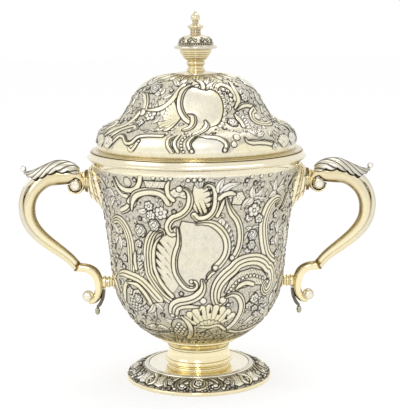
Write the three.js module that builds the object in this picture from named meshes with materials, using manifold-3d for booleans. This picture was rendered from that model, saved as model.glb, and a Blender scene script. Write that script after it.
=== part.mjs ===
// A silver-gilt two-handled cup and cover.
// Millimetres, +Z up. The origin is on the table under the middle of the foot, and the handles lie along X.
import * as THREE from 'three';
import { mergeVertices } from 'three/addons/utils/BufferGeometryUtils.js';
import Module from 'manifold-3d';

// Facets round the cup, round the finial, round a handle's scrolls, and round its rings
const CUP_SIDES = 32;
const FINIAL_SIDES = 16;
const HANDLE_SIDES = 8;
const RING_SIDES = 12;

// Gap left between neighbours that share no flat face, and how far a turned edge is eased
const FIT_GAP = 0.3;
const EASE = 0.6;

// Foot
const FOOT_RADIUS = 66;
const FOOT_WIRE_HEIGHT = 3.6;
const FOOT_WIRE_WIDTH = 5;
const FOOT_SHEET = 1.5;
const BORDER_WIDTH = 16.5;
const BORDER_RISE = 8.4;
const INNER_WIRE_WIDTH = 3.8;
const INNER_WIRE_HEIGHT = 1.6;
const DISH_SAG = 1;
const DISH_LEDGE = 1.6;

// Stem
const STEM_BORE = 25.5;
const COLLAR_RADIUS = 28.6;
const COLLAR_HEIGHT = 3.2;
const KNOP_RADIUS = 31.2;
const KNOP_HEIGHT = 4.6;
const NECK_RADIUS = 27.6;
const NECK_HEIGHT = 10;
const CALYX_RADIUS = 36.6;
const CALYX_HEIGHT = 9.2;

// Bowl
const BOWL_WALL = 1.5;
const BELLY_RADIUS = 76.3;
const BELLY_HEIGHT = 51;
const THROAT_RADIUS = 93.5;
const WALL_HEIGHT = 108;
const LIP_OVERHANG = 4.4;
const LIP_HEIGHT = 10.6;

// Cover
const COVER_WALL = 1.5;
const BEZEL_DEPTH = 14.1;
const BEZEL_WALL = 1.8;
const BEZEL_CLEARANCE = 0.8;
const FLANGE_SETBACK = 3.7;
const FLANGE_HEIGHT = 2.1;
const COVER_INSET = 2;
const BULGE_INSET = 11.2;
const BULGE_HEIGHT = 21.5;
const COVE_INSET = 16.7;
const COVE_HEIGHT = 15.5;
const SHOULDER_HEIGHT = 27.5;
const CROWN_MARGIN = 1.2;

// Chased scrolls: their width, how far they stand out, how deep they are rooted in the wall, and their ends'
// share of the width
const SCROLL_WIDTH = 5;
const SCROLL_RISE = 0.9;
const SCROLL_ROOT = 0.9;
const SCROLL_TAPER = 0.45;

// Finial
const FINIAL_BASE_RADIUS = 17.8;
const FINIAL_BASE_HEIGHT = 3;
const VASE_WAIST_RADIUS = 7;
const VASE_BEAD_RADIUS = 8.1;
const VASE_RADIUS = 14.2;
const VASE_HEIGHT = 18.8;
const PLATE_RADIUS = 19.1;
const PLATE_HEIGHT = 4.2;
const DOME_RADIUS = 15.4;
const DOME_HEIGHT = 8.1;
const SPOOL_RADIUS = 4.9;
const SPOOL_HEIGHT = 5.2;
const BUTTON_RADIUS = 7.2;
const BUTTON_HEIGHT = 5;
const BUD_RADIUS = 4.3;
const BUD_HEIGHT = 11.2;
const STUD_RADIUS = 2.2;
const STUD_GRIP = 2.6;
const STUD_TAIL = 1.4;
const WASHER_RADIUS = 7;
const WASHER_THICKNESS = 1.2;
const NUT_RADIUS = 5.4;
const NUT_HEIGHT = 3.2;

// Handles: the unit that their tables of stations are written in, and where their sockets stand on the bowl
const HANDLE_UNIT = 1;
const UPPER_SOCKET_DROP = 16.7;
const LOWER_SOCKET_RISE = 49.5;
const HANDLE_PLATE_PROUD = 8.3;
const HANDLE_COLLAR_RADIUS = 10.4;
const HANDLE_COLLAR_LENGTH = 2.6;
const VOLUTE_OUT = 20;
const VOLUTE_DROP = 3.7;
const BOSS_RADIUS = 4.2;
const BOSS_RIM_RADIUS = 5.1;
const BOSS_HALF_LENGTH = 6.6;
const STRAP_HALF_WIDTH = 4.6;
const STRAP_THICKNESS = 4.2;
const STRAP_END_THICKNESS = 2.8;
const STRAP_LIFT = 0.8;
const BALL_RADIUS = 4.3;
const LEAF_BEAD_RADIUS = 2.4;
const DROP_RADIUS = 2.4;
const DROP_LENGTH = 7.6;
const LOWER_SOCKET_RADIUS = 5.8;

// Finishes
const GILT = { color: 0xe2c479, roughness: 0.16, metalness: 1 };
const CHASED_GILT = { color: 0xb9a877, roughness: 0.34, metalness: 1 };
const SILVER = { color: 0xb7b19c, roughness: 0.3, metalness: 1 };
const PLAIN_SILVER = { color: 0xc9c6bb, roughness: 0.25, metalness: 1 };

const wasm = await Module();
wasm.setup();

// Heights of the faces that the pieces stand on, from the table upwards
const wireTop = FOOT_WIRE_HEIGHT;
const borderTop = wireTop + BORDER_RISE;
const dishFloor = borderTop;
const collarTop = dishFloor + COLLAR_HEIGHT;
const knopTop = collarTop + KNOP_HEIGHT;
const neckTop = knopTop + NECK_HEIGHT;
const calyxTop = neckTop + CALYX_HEIGHT;
const bellyTop = calyxTop + BELLY_HEIGHT;
const throatTop = bellyTop + WALL_HEIGHT;
const lipTop = throatTop + LIP_HEIGHT;
const flangeBottom = lipTop + FIT_GAP;
const flangeTop = flangeBottom + FLANGE_HEIGHT;
const bulgeTop = flangeTop + BULGE_HEIGHT;
const coveTop = bulgeTop + COVE_HEIGHT;
const crown = coveTop + SHOULDER_HEIGHT;

const point = (r, z) => new THREE.Vector2(r, z);

// A smooth stretch of outline. leave and arrive are its two handles, as shares of the way across and up.
function bend(from, to, leave, arrive, steps) {
  const handle = ([across, up]) =>
    point(THREE.MathUtils.lerp(from.x, to.x, across), THREE.MathUtils.lerp(from.y, to.y, up));
  return new THREE.CubicBezierCurve(from, handle(leave), handle(arrive), to).getPoints(steps);
}

// The outline moved sideways by a distance, to the left of its direction of travel.
function offset(outline, distance) {
  return outline.map((p, i) => {
    const before = outline[Math.max(i - 1, 0)];
    const after = outline[Math.min(i + 1, outline.length - 1)];
    const along = after.clone().sub(before).normalize();
    return point(p.x - along.y * distance, p.y + along.x * distance);
  });
}

// A turned ring. Its outline runs up the outside and down the inside, and is closed here.
function turnedRing(outline, sides = CUP_SIDES) {
  return new THREE.LatheGeometry([...outline, outline[0].clone()], sides).rotateX(Math.PI / 2);
}

// A turned solid. Its outline runs up the outside, and is closed to the axis here.
function turnedSolid(outline, sides = CUP_SIDES) {
  const closed = [point(0, outline[0].y), ...outline, point(0, outline.at(-1).y)];
  return new THREE.LatheGeometry(closed, sides).rotateX(Math.PI / 2);
}

// A solid turned about the X axis, from [radius, x] pairs.
const turnedAlongX = (pairs, sides) =>
  new THREE.LatheGeometry([
    point(0, pairs[0][1]), ...pairs.map(([r, x]) => point(r, x)), point(0, pairs.at(-1)[1]),
  ], sides).rotateZ(-Math.PI / 2);

// An outline given as [radius, share of the height] pairs, standing on a floor.
const stacked = (floor, height, pairs) => pairs.map(([r, share]) => point(r, floor + height * share));

function toSolid(geometry) {
  const bare = geometry.clone();
  bare.deleteAttribute('normal');
  bare.deleteAttribute('uv');
  const merged = mergeVertices(bare, 1e-4);
  const vertProperties = merged.attributes.position.array;
  const triVerts = new Uint32Array(merged.index.array);
  return new wasm.Manifold(new wasm.Mesh({ numProp: 3, vertProperties, triVerts }));
}

function toGeometry(solid) {
  const { vertProperties, triVerts } = solid.getMesh();
  const geometry = new THREE.BufferGeometry();
  geometry.setAttribute('position', new THREE.BufferAttribute(vertProperties, 3));
  geometry.setIndex(new THREE.BufferAttribute(triVerts, 1));
  return geometry;
}

const cut = (geometry, ...tools) =>
  toGeometry(tools.reduce((solid, tool) => solid.subtract(toSolid(tool)), toSolid(geometry)));
const join = (a, b) => toGeometry(toSolid(a).add(toSolid(b)));

// A closed skin over rings of equally many points, with a flat fan at each end.
function skin(rings) {
  const count = rings[0].length;
  const middle = (ring) => ring.reduce((sum, p) => sum.add(p), new THREE.Vector3()).divideScalar(count);
  const points = [...rings.flat(), middle(rings[0]), middle(rings.at(-1))];
  const [startCap, endCap] = [points.length - 2, points.length - 1];
  const lastRing = (rings.length - 1) * count;
  const index = [];
  for (let k = 0; k < count; k += 1) {
    const next = (k + 1) % count;
    for (let row = 0; row < lastRing; row += count) {
      index.push(row + k, row + next, row + count + next);
      index.push(row + k, row + count + next, row + count + k);
    }
    index.push(startCap, next, k, endCap, lastRing + k, lastRing + next);
  }
  const geometry = new THREE.BufferGeometry().setFromPoints(points);
  geometry.setIndex(index);
  return geometry;
}

// Sections of a swept piece, as shares of its half depth in the handle's plane and of its half width along Y
const ROUND = Array.from({ length: HANDLE_SIDES }, (_, k) => {
  const turn = (k / HANDLE_SIDES) * 2 * Math.PI;
  return [Math.cos(turn), Math.sin(turn)];
});
const BAND = [[1, -0.7], [1, 0.7], [0.3, 1], [-0.3, 1], [-1, 0.7], [-1, -0.7], [-0.3, -1], [0.3, -1]];

// The direction of travel at each station of a path in the handle's plane.
function headings(stations) {
  return stations.map((station, i) => {
    const before = stations[Math.max(i - 1, 0)];
    const after = stations[Math.min(i + 1, stations.length - 1)];
    return station.heading ?? after.at.clone().sub(before.at).normalize();
  });
}

// A piece swept through stations in the XZ plane, each { at, deep, wide } and, where its face is set,
// heading.
function sweep(stations, section, extra = 0) {
  const along = headings(stations);
  return skin(stations.map(({ at, deep, wide }, i) => section.map(([a, b]) => {
    const reach = a * (deep + extra);
    return new THREE.Vector3(at.x + along[i].y * reach, b * (wide + extra), at.y - along[i].x * reach);
  })));
}

// Foot and stem

function footWire() {
  const inner = FOOT_RADIUS - FOOT_WIRE_WIDTH;
  return turnedRing([
    point(inner, 0), point(FOOT_RADIUS - EASE, 0), point(FOOT_RADIUS, wireTop * 0.4),
    point(FOOT_RADIUS - EASE, wireTop), point(inner, wireTop),
  ]);
}

const borderInnerRadius = FOOT_RADIUS - BORDER_WIDTH;
const dishRadius = borderInnerRadius - INNER_WIRE_WIDTH - FIT_GAP;

function footBorder() {
  const slope = bend(point(FOOT_RADIUS - 1.5 * EASE, wireTop), point(borderInnerRadius, borderTop),
    [0.26, 0.46], [0.66, 0.86], 4);
  const land = dishRadius - DISH_LEDGE;
  const underside = offset(slope, FOOT_SHEET);
  underside[0].y = wireTop;
  return turnedRing([
    ...slope, point(land, borderTop), point(land, borderTop - FOOT_SHEET),
    ...underside.slice(0, -1).reverse(),
  ]);
}

function footInnerWire() {
  return turnedRing(stacked(borderTop, INNER_WIRE_HEIGHT, [
    [dishRadius + FIT_GAP, 0], [borderInnerRadius, 0], [borderInnerRadius, 0.5],
    [borderInnerRadius - 2 * EASE, 1], [dishRadius + FIT_GAP + EASE, 1],
  ]));
}

function footDish() {
  const shelf = dishRadius - DISH_LEDGE;
  const middle = (dishRadius + COLLAR_RADIUS) / 2;
  return turnedRing([
    point(shelf - FIT_GAP, dishFloor), point(dishRadius, dishFloor), point(dishRadius, dishFloor + 0.9),
    point(middle, dishFloor - DISH_SAG + 0.9), point(COLLAR_RADIUS + 1, dishFloor), point(STEM_BORE, dishFloor),
    point(STEM_BORE, dishFloor - FOOT_SHEET), point(middle, dishFloor - DISH_SAG - FOOT_SHEET),
    point(shelf - FIT_GAP, dishFloor - 0.8),
  ]);
}

function stemCollar() {
  return turnedRing(stacked(dishFloor, COLLAR_HEIGHT, [
    [STEM_BORE, 0], [COLLAR_RADIUS, 0], [COLLAR_RADIUS - 1.4, 0.45], [COLLAR_RADIUS - 0.5, 1], [STEM_BORE, 1],
  ]));
}

function stemKnop() {
  return turnedRing(stacked(collarTop, KNOP_HEIGHT, [
    [STEM_BORE, 0], [KNOP_RADIUS - 2.4, 0], [KNOP_RADIUS - 0.5, 0.2], [KNOP_RADIUS, 0.5],
    [KNOP_RADIUS - 0.6, 0.8], [KNOP_RADIUS - 2.4, 1], [STEM_BORE, 1],
  ]));
}

function stemNeck() {
  return turnedRing(stacked(knopTop, NECK_HEIGHT, [
    [STEM_BORE, 0], [NECK_RADIUS + 0.8, 0], [NECK_RADIUS, 0.35], [NECK_RADIUS, 0.75],
    [NECK_RADIUS + 0.8, 1], [STEM_BORE, 1],
  ]));
}

function bowlCalyx() {
  const flare = CALYX_RADIUS - STEM_BORE;
  const steps = [[0.26, 0], [0.32, 0.12], [0.35, 0.24], [0.57, 0.4], [0.82, 0.62], [1, 0.8], [1, 1], [0.68, 1]];
  return turnedRing(stacked(neckTop, CALYX_HEIGHT, [
    [STEM_BORE, 0], ...steps.map(([out, share]) => [STEM_BORE + flare * out, share]),
  ]));
}

// Chasing

// A place on a turned wall, at a percentage of the run up its outline, and which way the wall faces there.
function wallAt(outline, percent) {
  const steps = outline.slice(1).map((p, i) => p.distanceTo(outline[i]));
  let i = 0;
  let rest = steps.reduce((sum, step) => sum + step) * percent / 100;
  while (i < steps.length - 1 && rest > steps[i]) {
    rest -= steps[i];
    i += 1;
  }
  const along = outline[i + 1].clone().sub(outline[i]).normalize();
  return { at: outline[i].clone().addScaledVector(along, rest), out: point(along.y, -along.x) };
}

// Half of a scroll's section: its foot in the wall and the edge of its top, as a share of its width, and up
// from the wall
const SCROLL_SECTION = [[0.5, -SCROLL_ROOT], [0.3, SCROLL_RISE]];

// A scroll raised on a wall. Its path is [degrees round from the front, percentage up the wall] pairs.
function raisedScroll(outline, { broad, path }) {
  const curve = new THREE.SplineCurve(path.map(([turn, percent]) => point(turn, percent)));
  const places = curve.getPoints(2 * (path.length - 1)).map(({ x, y }) => {
    const turn = THREE.MathUtils.degToRad(x);
    const { at, out } = wallAt(outline, y);
    const onWall = (r, z) => new THREE.Vector3(r * Math.sin(turn), -r * Math.cos(turn), z);
    return { at: onWall(at.x, at.y), out: onWall(out.x, out.y) };
  });
  const section = [...SCROLL_SECTION, ...SCROLL_SECTION.toReversed().map(([across, up]) => [-across, up])];
  return skin(places.map(({ at, out }, i) => {
    const before = places[Math.max(i - 1, 0)].at;
    const after = places[Math.min(i + 1, places.length - 1)].at;
    const side = out.clone().cross(after.clone().sub(before)).normalize();
    const fromEnd = Math.min(i, places.length - 1 - i);
    const wide = SCROLL_WIDTH * broad * (fromEnd === 0 ? SCROLL_TAPER : 1);
    return section.map(([across, up]) =>
      at.clone().addScaledVector(side, across * wide).addScaledVector(out, up));
  }));
}

// The wall with its scrolls on the front, and again on the back.
function chased(wall, outline, scrolls) {
  const raised = scrolls.flatMap((scroll) => {
    const front = raisedScroll(outline, scroll);
    return [front, front.clone().rotateZ(Math.PI)];
  });
  return toGeometry(raised.reduce((solid, geometry) => solid.add(toSolid(geometry)), toSolid(wall)));
}

// Bowl

const bowlWall = [
  ...bend(point(CALYX_RADIUS - 0.2, calyxTop), point(BELLY_RADIUS, bellyTop), [0.54, 0.18], [0.89, 0.57], 5),
  ...bend(point(BELLY_RADIUS, bellyTop), point(THROAT_RADIUS, throatTop), [0.215, 0.324], [0.39, 0.694], 5)
    .slice(1),
];

// The bowl's outer radius at a height.
function bowlRadius(z) {
  const i = bowlWall.findIndex((p, k) => k > 0 && p.y >= z);
  const [low, high] = [bowlWall[i - 1], bowlWall[i]];
  return THREE.MathUtils.mapLinear(z, low.y, high.y, low.x, high.x);
}

// The main scrolls of the bowl, round the bare cartouche in its middle
const BOWL_SCROLLS = [
  { broad: 1.2, path: [[0, 75.8], [8, 75.8], [15, 71.1], [18, 62.9], [14, 55.7], [10.5, 53.7]] },
  { broad: 1, path: [[-11, 73], [-11.5, 64.8], [-14, 54.8], [-12, 48.1], [-7, 43.7], [-2, 43.8]] },
  { broad: 1.2, path: [[2.7, 47.2], [2, 41.2], [-6.6, 37.1], [-16, 34.3], [-18, 28.3]] },
  { broad: 1.2, path: [[-21, 70.7], [-28, 69.2], [-32, 59.8], [-32, 49.7], [-26, 42.5], [-17, 36.8]] },
  { broad: 1, path: [[-9, 94], [-3.7, 89.3], [-6, 82.4], [-13.7, 78.3], [-17.3, 73.6], [-14, 70.9]] },
  { broad: 1, path: [[4, 94], [8.4, 94.7], [10.6, 87.5], [7.7, 79.9], [0.6, 78]] },
  { broad: 1, path: [[16, 88.1], [20, 80.6], [25.6, 72.4], [25.6, 62.9], [21, 57.9]] },
  { broad: 1.4, path: [[51, 84.6], [46, 82.4], [42.6, 73], [45.4, 62.3], [52.6, 54.2]] },
  {
    broad: 1.4,
    path: [[14, 35.3], [11.3, 41.2], [18, 49.4], [32.6, 56], [47, 52.9], [56, 45.6], [54, 38.7], [47.6, 39.3]],
  },
  { broad: 1.1, path: [[18, 38.4], [27, 38], [31, 29.9], [24, 18]] },
  { broad: 1.2, path: [[-63, 45.6], [-46, 46.9], [-34, 43.1], [-26, 36.8]] },
  { broad: 1.2, path: [[-60, 73.6], [-51, 73.6], [-45, 64.8], [-47, 47.9]] },
  { broad: 1.1, path: [[-40, 81.2], [-36, 89], [-24, 91.4], [-16, 86.2]] },
  { broad: 1, path: [[-51, 96.2], [-46, 88.7], [-41, 84.9], [-49, 79.9]] },
];

function bowl() {
  const floor = calyxTop + BOWL_WALL;
  const inside = offset(bowlWall, BOWL_WALL);
  inside[0].y = floor;
  inside.at(-1).y = throatTop;
  return chased(turnedSolid([...bowlWall, ...inside.reverse()]), bowlWall, BOWL_SCROLLS);
}

const throatBore = offset(bowlWall, BOWL_WALL).at(-1).x;
const lipRadius = THROAT_RADIUS + LIP_OVERHANG;

function bowlLip() {
  return turnedRing(stacked(throatTop, LIP_HEIGHT, [
    [throatBore, 0], [THROAT_RADIUS, 0], [THROAT_RADIUS + LIP_OVERHANG * 0.4, 0.26], [lipRadius, 0.48],
    [lipRadius, 0.6], [lipRadius - LIP_OVERHANG * 0.4, 0.82], [lipRadius - 3, 1], [throatBore, 1],
  ]));
}

// Cover

const bezelRadius = bowlRadius(flangeBottom - BEZEL_DEPTH) - BOWL_WALL - BEZEL_CLEARANCE;
const bezelBore = bezelRadius - BEZEL_WALL;
const coverRadius = bezelRadius - COVER_INSET;
const crownRadius = FINIAL_BASE_RADIUS + CROWN_MARGIN;

function coverBezel() {
  return turnedRing(stacked(flangeBottom - BEZEL_DEPTH, BEZEL_DEPTH, [
    [bezelBore, 0], [bezelRadius, 0], [bezelRadius, 1], [bezelBore, 1],
  ]));
}

function coverFlange() {
  const edge = lipRadius - FLANGE_SETBACK;
  const bore = coverRadius - 2 * COVER_WALL;
  return turnedRing(stacked(flangeBottom, FLANGE_HEIGHT, [
    [bore, 0], [edge - 0.3, 0], [edge, 0.25], [edge - 0.8, 0.5], [coverRadius + 1.4, 0.7], [coverRadius, 1],
    [bore, 1],
  ]));
}

const bulgeRadius = coverRadius - BULGE_INSET;
const coveRadius = bulgeRadius - COVE_INSET;
const coverWall = [
  ...bend(point(coverRadius, flangeTop), point(bulgeRadius, bulgeTop), [-0.16, 0.465], [0.06, 0.86], 4),
  ...bend(point(bulgeRadius, bulgeTop), point(coveRadius, coveTop), [0.42, 0.13], [0.78, 0.484], 3).slice(1),
  ...bend(point(coveRadius, coveTop), point(crownRadius, crown), [0.104, 0.29], [0.25, 1], 5).slice(1),
];

// The main scrolls of the cover, round its own bare cartouche
const COVER_SCROLLS = [
  { broad: 1, path: [[-5, 73.1], [-13, 66.3], [-14, 53.5], [-8.3, 42.6], [-4.5, 39.5]] },
  { broad: 0.9, path: [[10, 68], [18, 65.9], [23, 55.1], [21, 45.4], [13, 35]] },
  { broad: 0.9, path: [[6.7, 39.5], [6.6, 32.7], [2.5, 25.4], [-0.8, 21.4]] },
  { broad: 1, path: [[-3.5, 44.3], [-2.6, 36.6], [-7.5, 29.5]] },
  { broad: 0.9, path: [[-43, 48.7], [-28, 51.9], [-17, 68], [-13, 74.3]] },
  { broad: 1.2, path: [[-59, 63.1], [-49, 56.7], [-48, 46.3]] },
  { broad: 1, path: [[20, 69.5], [32, 71.9], [37, 62.3]] },
  { broad: 0.9, path: [[42, 75.9], [40, 57.5], [35, 50.2]] },
  { broad: 1, path: [[68, 33.4], [52, 32.2], [47.5, 38.2], [54, 47.1]] },
  { broad: 0.9, path: [[-0.8, 18.9], [-4.2, 11.7], [-2.5, 6.2]] },
  { broad: 0.9, path: [[2, 19.4], [11.7, 17.4], [16.7, 10.2], [14.5, 6.5]] },
  { broad: 0.9, path: [[-11, 19.8], [-15.4, 13.5], [-13, 6.2]] },
  { broad: 0.9, path: [[-47, 16.6], [-38, 13.4], [-32, 18.2], [-20, 19.8]] },
  { broad: 0.9, path: [[28, 15.8], [31, 11.7], [47, 8.7]] },
  { broad: 1.2, path: [[72, 17.3], [80, 30.3], [92, 28.9], [94, 23.1]] },
  { broad: 1.2, path: [[112, 17.3], [105, 30.3], [97, 28.9]] },
];

function coverDome() {
  const inside = offset(coverWall, COVER_WALL);
  inside[0].y = flangeTop;
  const bore = STUD_RADIUS + FIT_GAP;
  const wall = turnedRing([
    ...coverWall, point(bore, crown), point(bore, crown - COVER_WALL),
    point(crownRadius, crown - COVER_WALL), ...inside.slice(0, -1).reverse(),
  ]);
  return chased(wall, coverWall, COVER_SCROLLS);
}

// Finial

const studBore = STUD_RADIUS + FIT_GAP;
const vaseFloor = crown + FINIAL_BASE_HEIGHT;
const plateFloor = vaseFloor + VASE_HEIGHT;
const finialDomeFloor = plateFloor + PLATE_HEIGHT;
const spoolFloor = finialDomeFloor + DOME_HEIGHT;
const buttonFloor = spoolFloor + SPOOL_HEIGHT;
const budFloor = buttonFloor + BUTTON_HEIGHT;
const washerTop = crown - COVER_WALL;
const nutTop = washerTop - WASHER_THICKNESS;

// A finial piece with the stud's bore through it.
function bored(floor, height, pairs) {
  return turnedRing(stacked(floor, height, [[studBore, 0], ...pairs, [studBore, 1]]), FINIAL_SIDES);
}

function finialBase() {
  return bored(crown, FINIAL_BASE_HEIGHT, [
    [FINIAL_BASE_RADIUS - EASE, 0], [FINIAL_BASE_RADIUS, 0.35], [FINIAL_BASE_RADIUS - 2 * EASE, 0.75],
    [VASE_BEAD_RADIUS + 2 * EASE, 1],
  ]);
}

function finialVase() {
  return bored(vaseFloor, VASE_HEIGHT, [
    [VASE_BEAD_RADIUS, 0], [VASE_BEAD_RADIUS, 0.1], [VASE_WAIST_RADIUS, 0.17], [VASE_WAIST_RADIUS + 0.2, 0.25],
    [VASE_BEAD_RADIUS, 0.32], [VASE_BEAD_RADIUS, 0.43], [VASE_WAIST_RADIUS + 0.9, 0.49],
    [VASE_RADIUS * 0.73, 0.57], [VASE_RADIUS * 0.86, 0.69], [VASE_RADIUS * 0.96, 0.84], [VASE_RADIUS, 1],
  ]);
}

function finialPlate() {
  return bored(plateFloor, PLATE_HEIGHT, [
    [VASE_RADIUS, 0], [PLATE_RADIUS - EASE, 0.2], [PLATE_RADIUS, 0.4], [PLATE_RADIUS, 0.7],
    [PLATE_RADIUS - 2 * EASE, 0.95], [DOME_RADIUS, 1],
  ]);
}

function finialDome() {
  return bored(finialDomeFloor, DOME_HEIGHT, [
    [DOME_RADIUS - EASE, 0], [DOME_RADIUS, 0.22], [DOME_RADIUS * 0.95, 0.5], [DOME_RADIUS * 0.79, 0.78],
    [DOME_RADIUS * 0.56, 1],
  ]);
}

function finialSpool() {
  return bored(spoolFloor, SPOOL_HEIGHT, [
    [DOME_RADIUS * 0.5, 0], [SPOOL_RADIUS, 0.1], [SPOOL_RADIUS, 0.3], [SPOOL_RADIUS - EASE, 0.38],
    [SPOOL_RADIUS, 0.64], [SPOOL_RADIUS - EASE, 0.9], [SPOOL_RADIUS, 1],
  ]);
}

// The button is bored from below, a little past the end of the stud.
function finialButton() {
  const blind = point(studBore, buttonFloor + STUD_GRIP + FIT_GAP);
  const outside = stacked(buttonFloor, BUTTON_HEIGHT, [
    [SPOOL_RADIUS, 0], [BUTTON_RADIUS - EASE, 0.36], [BUTTON_RADIUS, 0.5], [BUTTON_RADIUS - EASE, 0.7],
    [BUD_RADIUS, 0.92], [BUD_RADIUS * 0.62, 1],
  ]);
  return turnedSolid([blind, point(studBore, buttonFloor), ...outside], FINIAL_SIDES);
}

function finialBud() {
  const waist = BUD_RADIUS * 0.6;
  return turnedSolid(stacked(budFloor, BUD_HEIGHT, [
    [waist, 0], [waist, 0.1], [waist + EASE, 0.15], [waist, 0.2], [BUD_RADIUS * 0.8, 0.32], [BUD_RADIUS, 0.5],
    [BUD_RADIUS * 0.86, 0.66], [BUD_RADIUS * 0.5, 0.8], [BUD_RADIUS * 0.28, 0.87], [BUD_RADIUS * 0.36, 0.94],
    [BUD_RADIUS * 0.2, 1],
  ]), FINIAL_SIDES);
}

function finialStud() {
  const end = nutTop - NUT_HEIGHT - STUD_TAIL;
  return turnedSolid([point(STUD_RADIUS, end), point(STUD_RADIUS, buttonFloor + STUD_GRIP)], FINIAL_SIDES);
}

function finialWasher() {
  return turnedRing([
    point(studBore, nutTop), point(WASHER_RADIUS, nutTop),
    point(WASHER_RADIUS, washerTop), point(studBore, washerTop),
  ], FINIAL_SIDES);
}

function finialNut() {
  const hexagon = new THREE.CylinderGeometry(NUT_RADIUS, NUT_RADIUS, NUT_HEIGHT, 6)
    .rotateX(Math.PI / 2)
    .translate(0, 0, nutTop - NUT_HEIGHT / 2);
  const low = nutTop - NUT_HEIGHT - 1;
  const bore = turnedSolid([point(studBore, low), point(studBore, nutTop + 1)], FINIAL_SIDES);
  return cut(hexagon, bore);
}

// Handles. Each is drawn on the +X side, in the plane Y = 0, from where its two sockets meet the bowl.

const upper = point(bowlRadius(throatTop - UPPER_SOCKET_DROP), throatTop - UPPER_SOCKET_DROP);
const lower = point(bowlRadius(calyxTop + LOWER_SOCKET_RISE), calyxTop + LOWER_SOCKET_RISE);
const eye = point(upper.x + VOLUTE_OUT, upper.y - VOLUTE_DROP);
const collarStart = upper.x + HANDLE_PLATE_PROUD + FIT_GAP;
const collarEnd = collarStart + HANDLE_COLLAR_LENGTH;

// A place on the handle, in its units from an anchor
const onHandle = (anchor, out, up) => point(anchor.x + out * HANDLE_UNIT, anchor.y + up * HANDLE_UNIT);

// Stations given as [out, up, half depth, half width] from an anchor
const stationsFrom = (anchor, rows) =>
  rows.map(([out, up, deep, wide]) => ({
    at: onHandle(anchor, out, up),
    deep: deep * HANDLE_UNIT,
    wide: wide * HANDLE_UNIT,
  }));

// The volute's curl, from its tip under the boss to the top of the eye, at a clearance from the boss.
const CURL = [[1.3, 4.2], [1.4, 4.6], [1.5, 5], [1.6, 5.3], [1.9, 5.6], [3, 5.9], [4.5, 6.1]];
const curl = CURL.map(([thick, broad], k) => {
  const turn = (-k / (CURL.length - 1)) * 1.5 * Math.PI;
  const [deep, wide] = [thick * HANDLE_UNIT, broad * HANDLE_UNIT];
  const reach = BOSS_RIM_RADIUS + FIT_GAP + deep;
  return { at: point(eye.x + reach * Math.cos(turn), eye.y + reach * Math.sin(turn)), deep, wide };
});
const shoulder = stationsFrom(upper, [
  [26.5, 5.3, 5.5, 6.2], [32.5, 4.7, 6.1, 6.3], [38.5, 3.7, 6.3, 6.3], [45.5, 1.2, 6.2, 6.2],
  [52, -3.2, 5.9, 6.1], [57.4, -9.2, 5.8, 6], [60.8, -16, 5.7, 5.9], [62.1, -23.5, 5.6, 5.8],
]);

// The face where the main scroll ends on the lower one
const BEVEL = point(-0.79, -0.61).normalize();
const bevelSide = point(-BEVEL.y, BEVEL.x);
const scrollEnd = onHandle(lower, 32.4, 15.75);
const END_DEPTH = 3.1;
const END_WIDTH = 3.7;

function returnStretch() {
  const start = shoulder.at(-1);
  const steps = 8;
  const sweepDown = new THREE.CubicBezierCurve(
    start.at,
    point(start.at.x + 2 * HANDLE_UNIT, THREE.MathUtils.lerp(start.at.y, scrollEnd.y, 0.5)),
    onHandle(scrollEnd, 10.6, 17),
    scrollEnd,
  );
  return sweepDown.getPoints(steps).slice(1).map((at, i) => {
    const share = (i + 1) / steps;
    return {
      at,
      deep: THREE.MathUtils.lerp(start.deep, END_DEPTH, Math.min(1, share * 1.15)),
      wide: THREE.MathUtils.lerp(start.wide, END_WIDTH, share),
      heading: share === 1 ? BEVEL : undefined,
    };
  });
}

const mainPath = [...curl, ...shoulder, ...returnStretch()];
const strapStart = curl.length + 5;
const strapTop = { at: onHandle(upper, 61, 3), deep: STRAP_THICKNESS / 2, wide: STRAP_HALF_WIDTH };

// The tapered root that carries the scroll on its collar, and its space with a gap round it.
function scrollRoot(extra = 0) {
  const length = curl.at(-1).at.x - collarEnd;
  const taper = [[0.8, 0], [2.6, 0.5], [4.4, 0.9]];
  return turnedAlongX(
    taper.map(([inset, share]) =>
      [HANDLE_COLLAR_RADIUS - inset * HANDLE_UNIT + extra, (length + extra) * share]),
    HANDLE_SIDES,
  ).translate(collarEnd + FIT_GAP, 0, upper.y + HANDLE_UNIT);
}

function handleScroll() {
  const hole = BOSS_RIM_RADIUS + FIT_GAP;
  const eyeHole = new THREE.CylinderGeometry(hole, hole, 4 * BOSS_HALF_LENGTH, RING_SIDES)
    .translate(eye.x, 0, eye.y);
  const wide = 2 * HANDLE_COLLAR_RADIUS;
  const seat = turnedAlongX([[wide, collarStart], [wide, collarEnd + FIT_GAP]], 8).translate(0, 0, upper.y);
  return cut(join(sweep(mainPath, ROUND), scrollRoot()), seat, eyeHole);
}

function handleBoss() {
  const half = [
    [BOSS_RIM_RADIUS, -0.68], [BOSS_RADIUS, -0.72], [BOSS_RADIUS, -0.84], [BOSS_RADIUS * 0.62, -0.97],
  ].map(([r, share]) => point(r, share * BOSS_HALF_LENGTH));
  const mirrored = half.map((p) => point(p.x, -p.y));
  const outline = [point(0, -BOSS_HALF_LENGTH), ...half.toReversed(), ...mirrored, point(0, BOSS_HALF_LENGTH)];
  return new THREE.LatheGeometry(outline, RING_SIDES).translate(eye.x, 0, eye.y);
}

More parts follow.
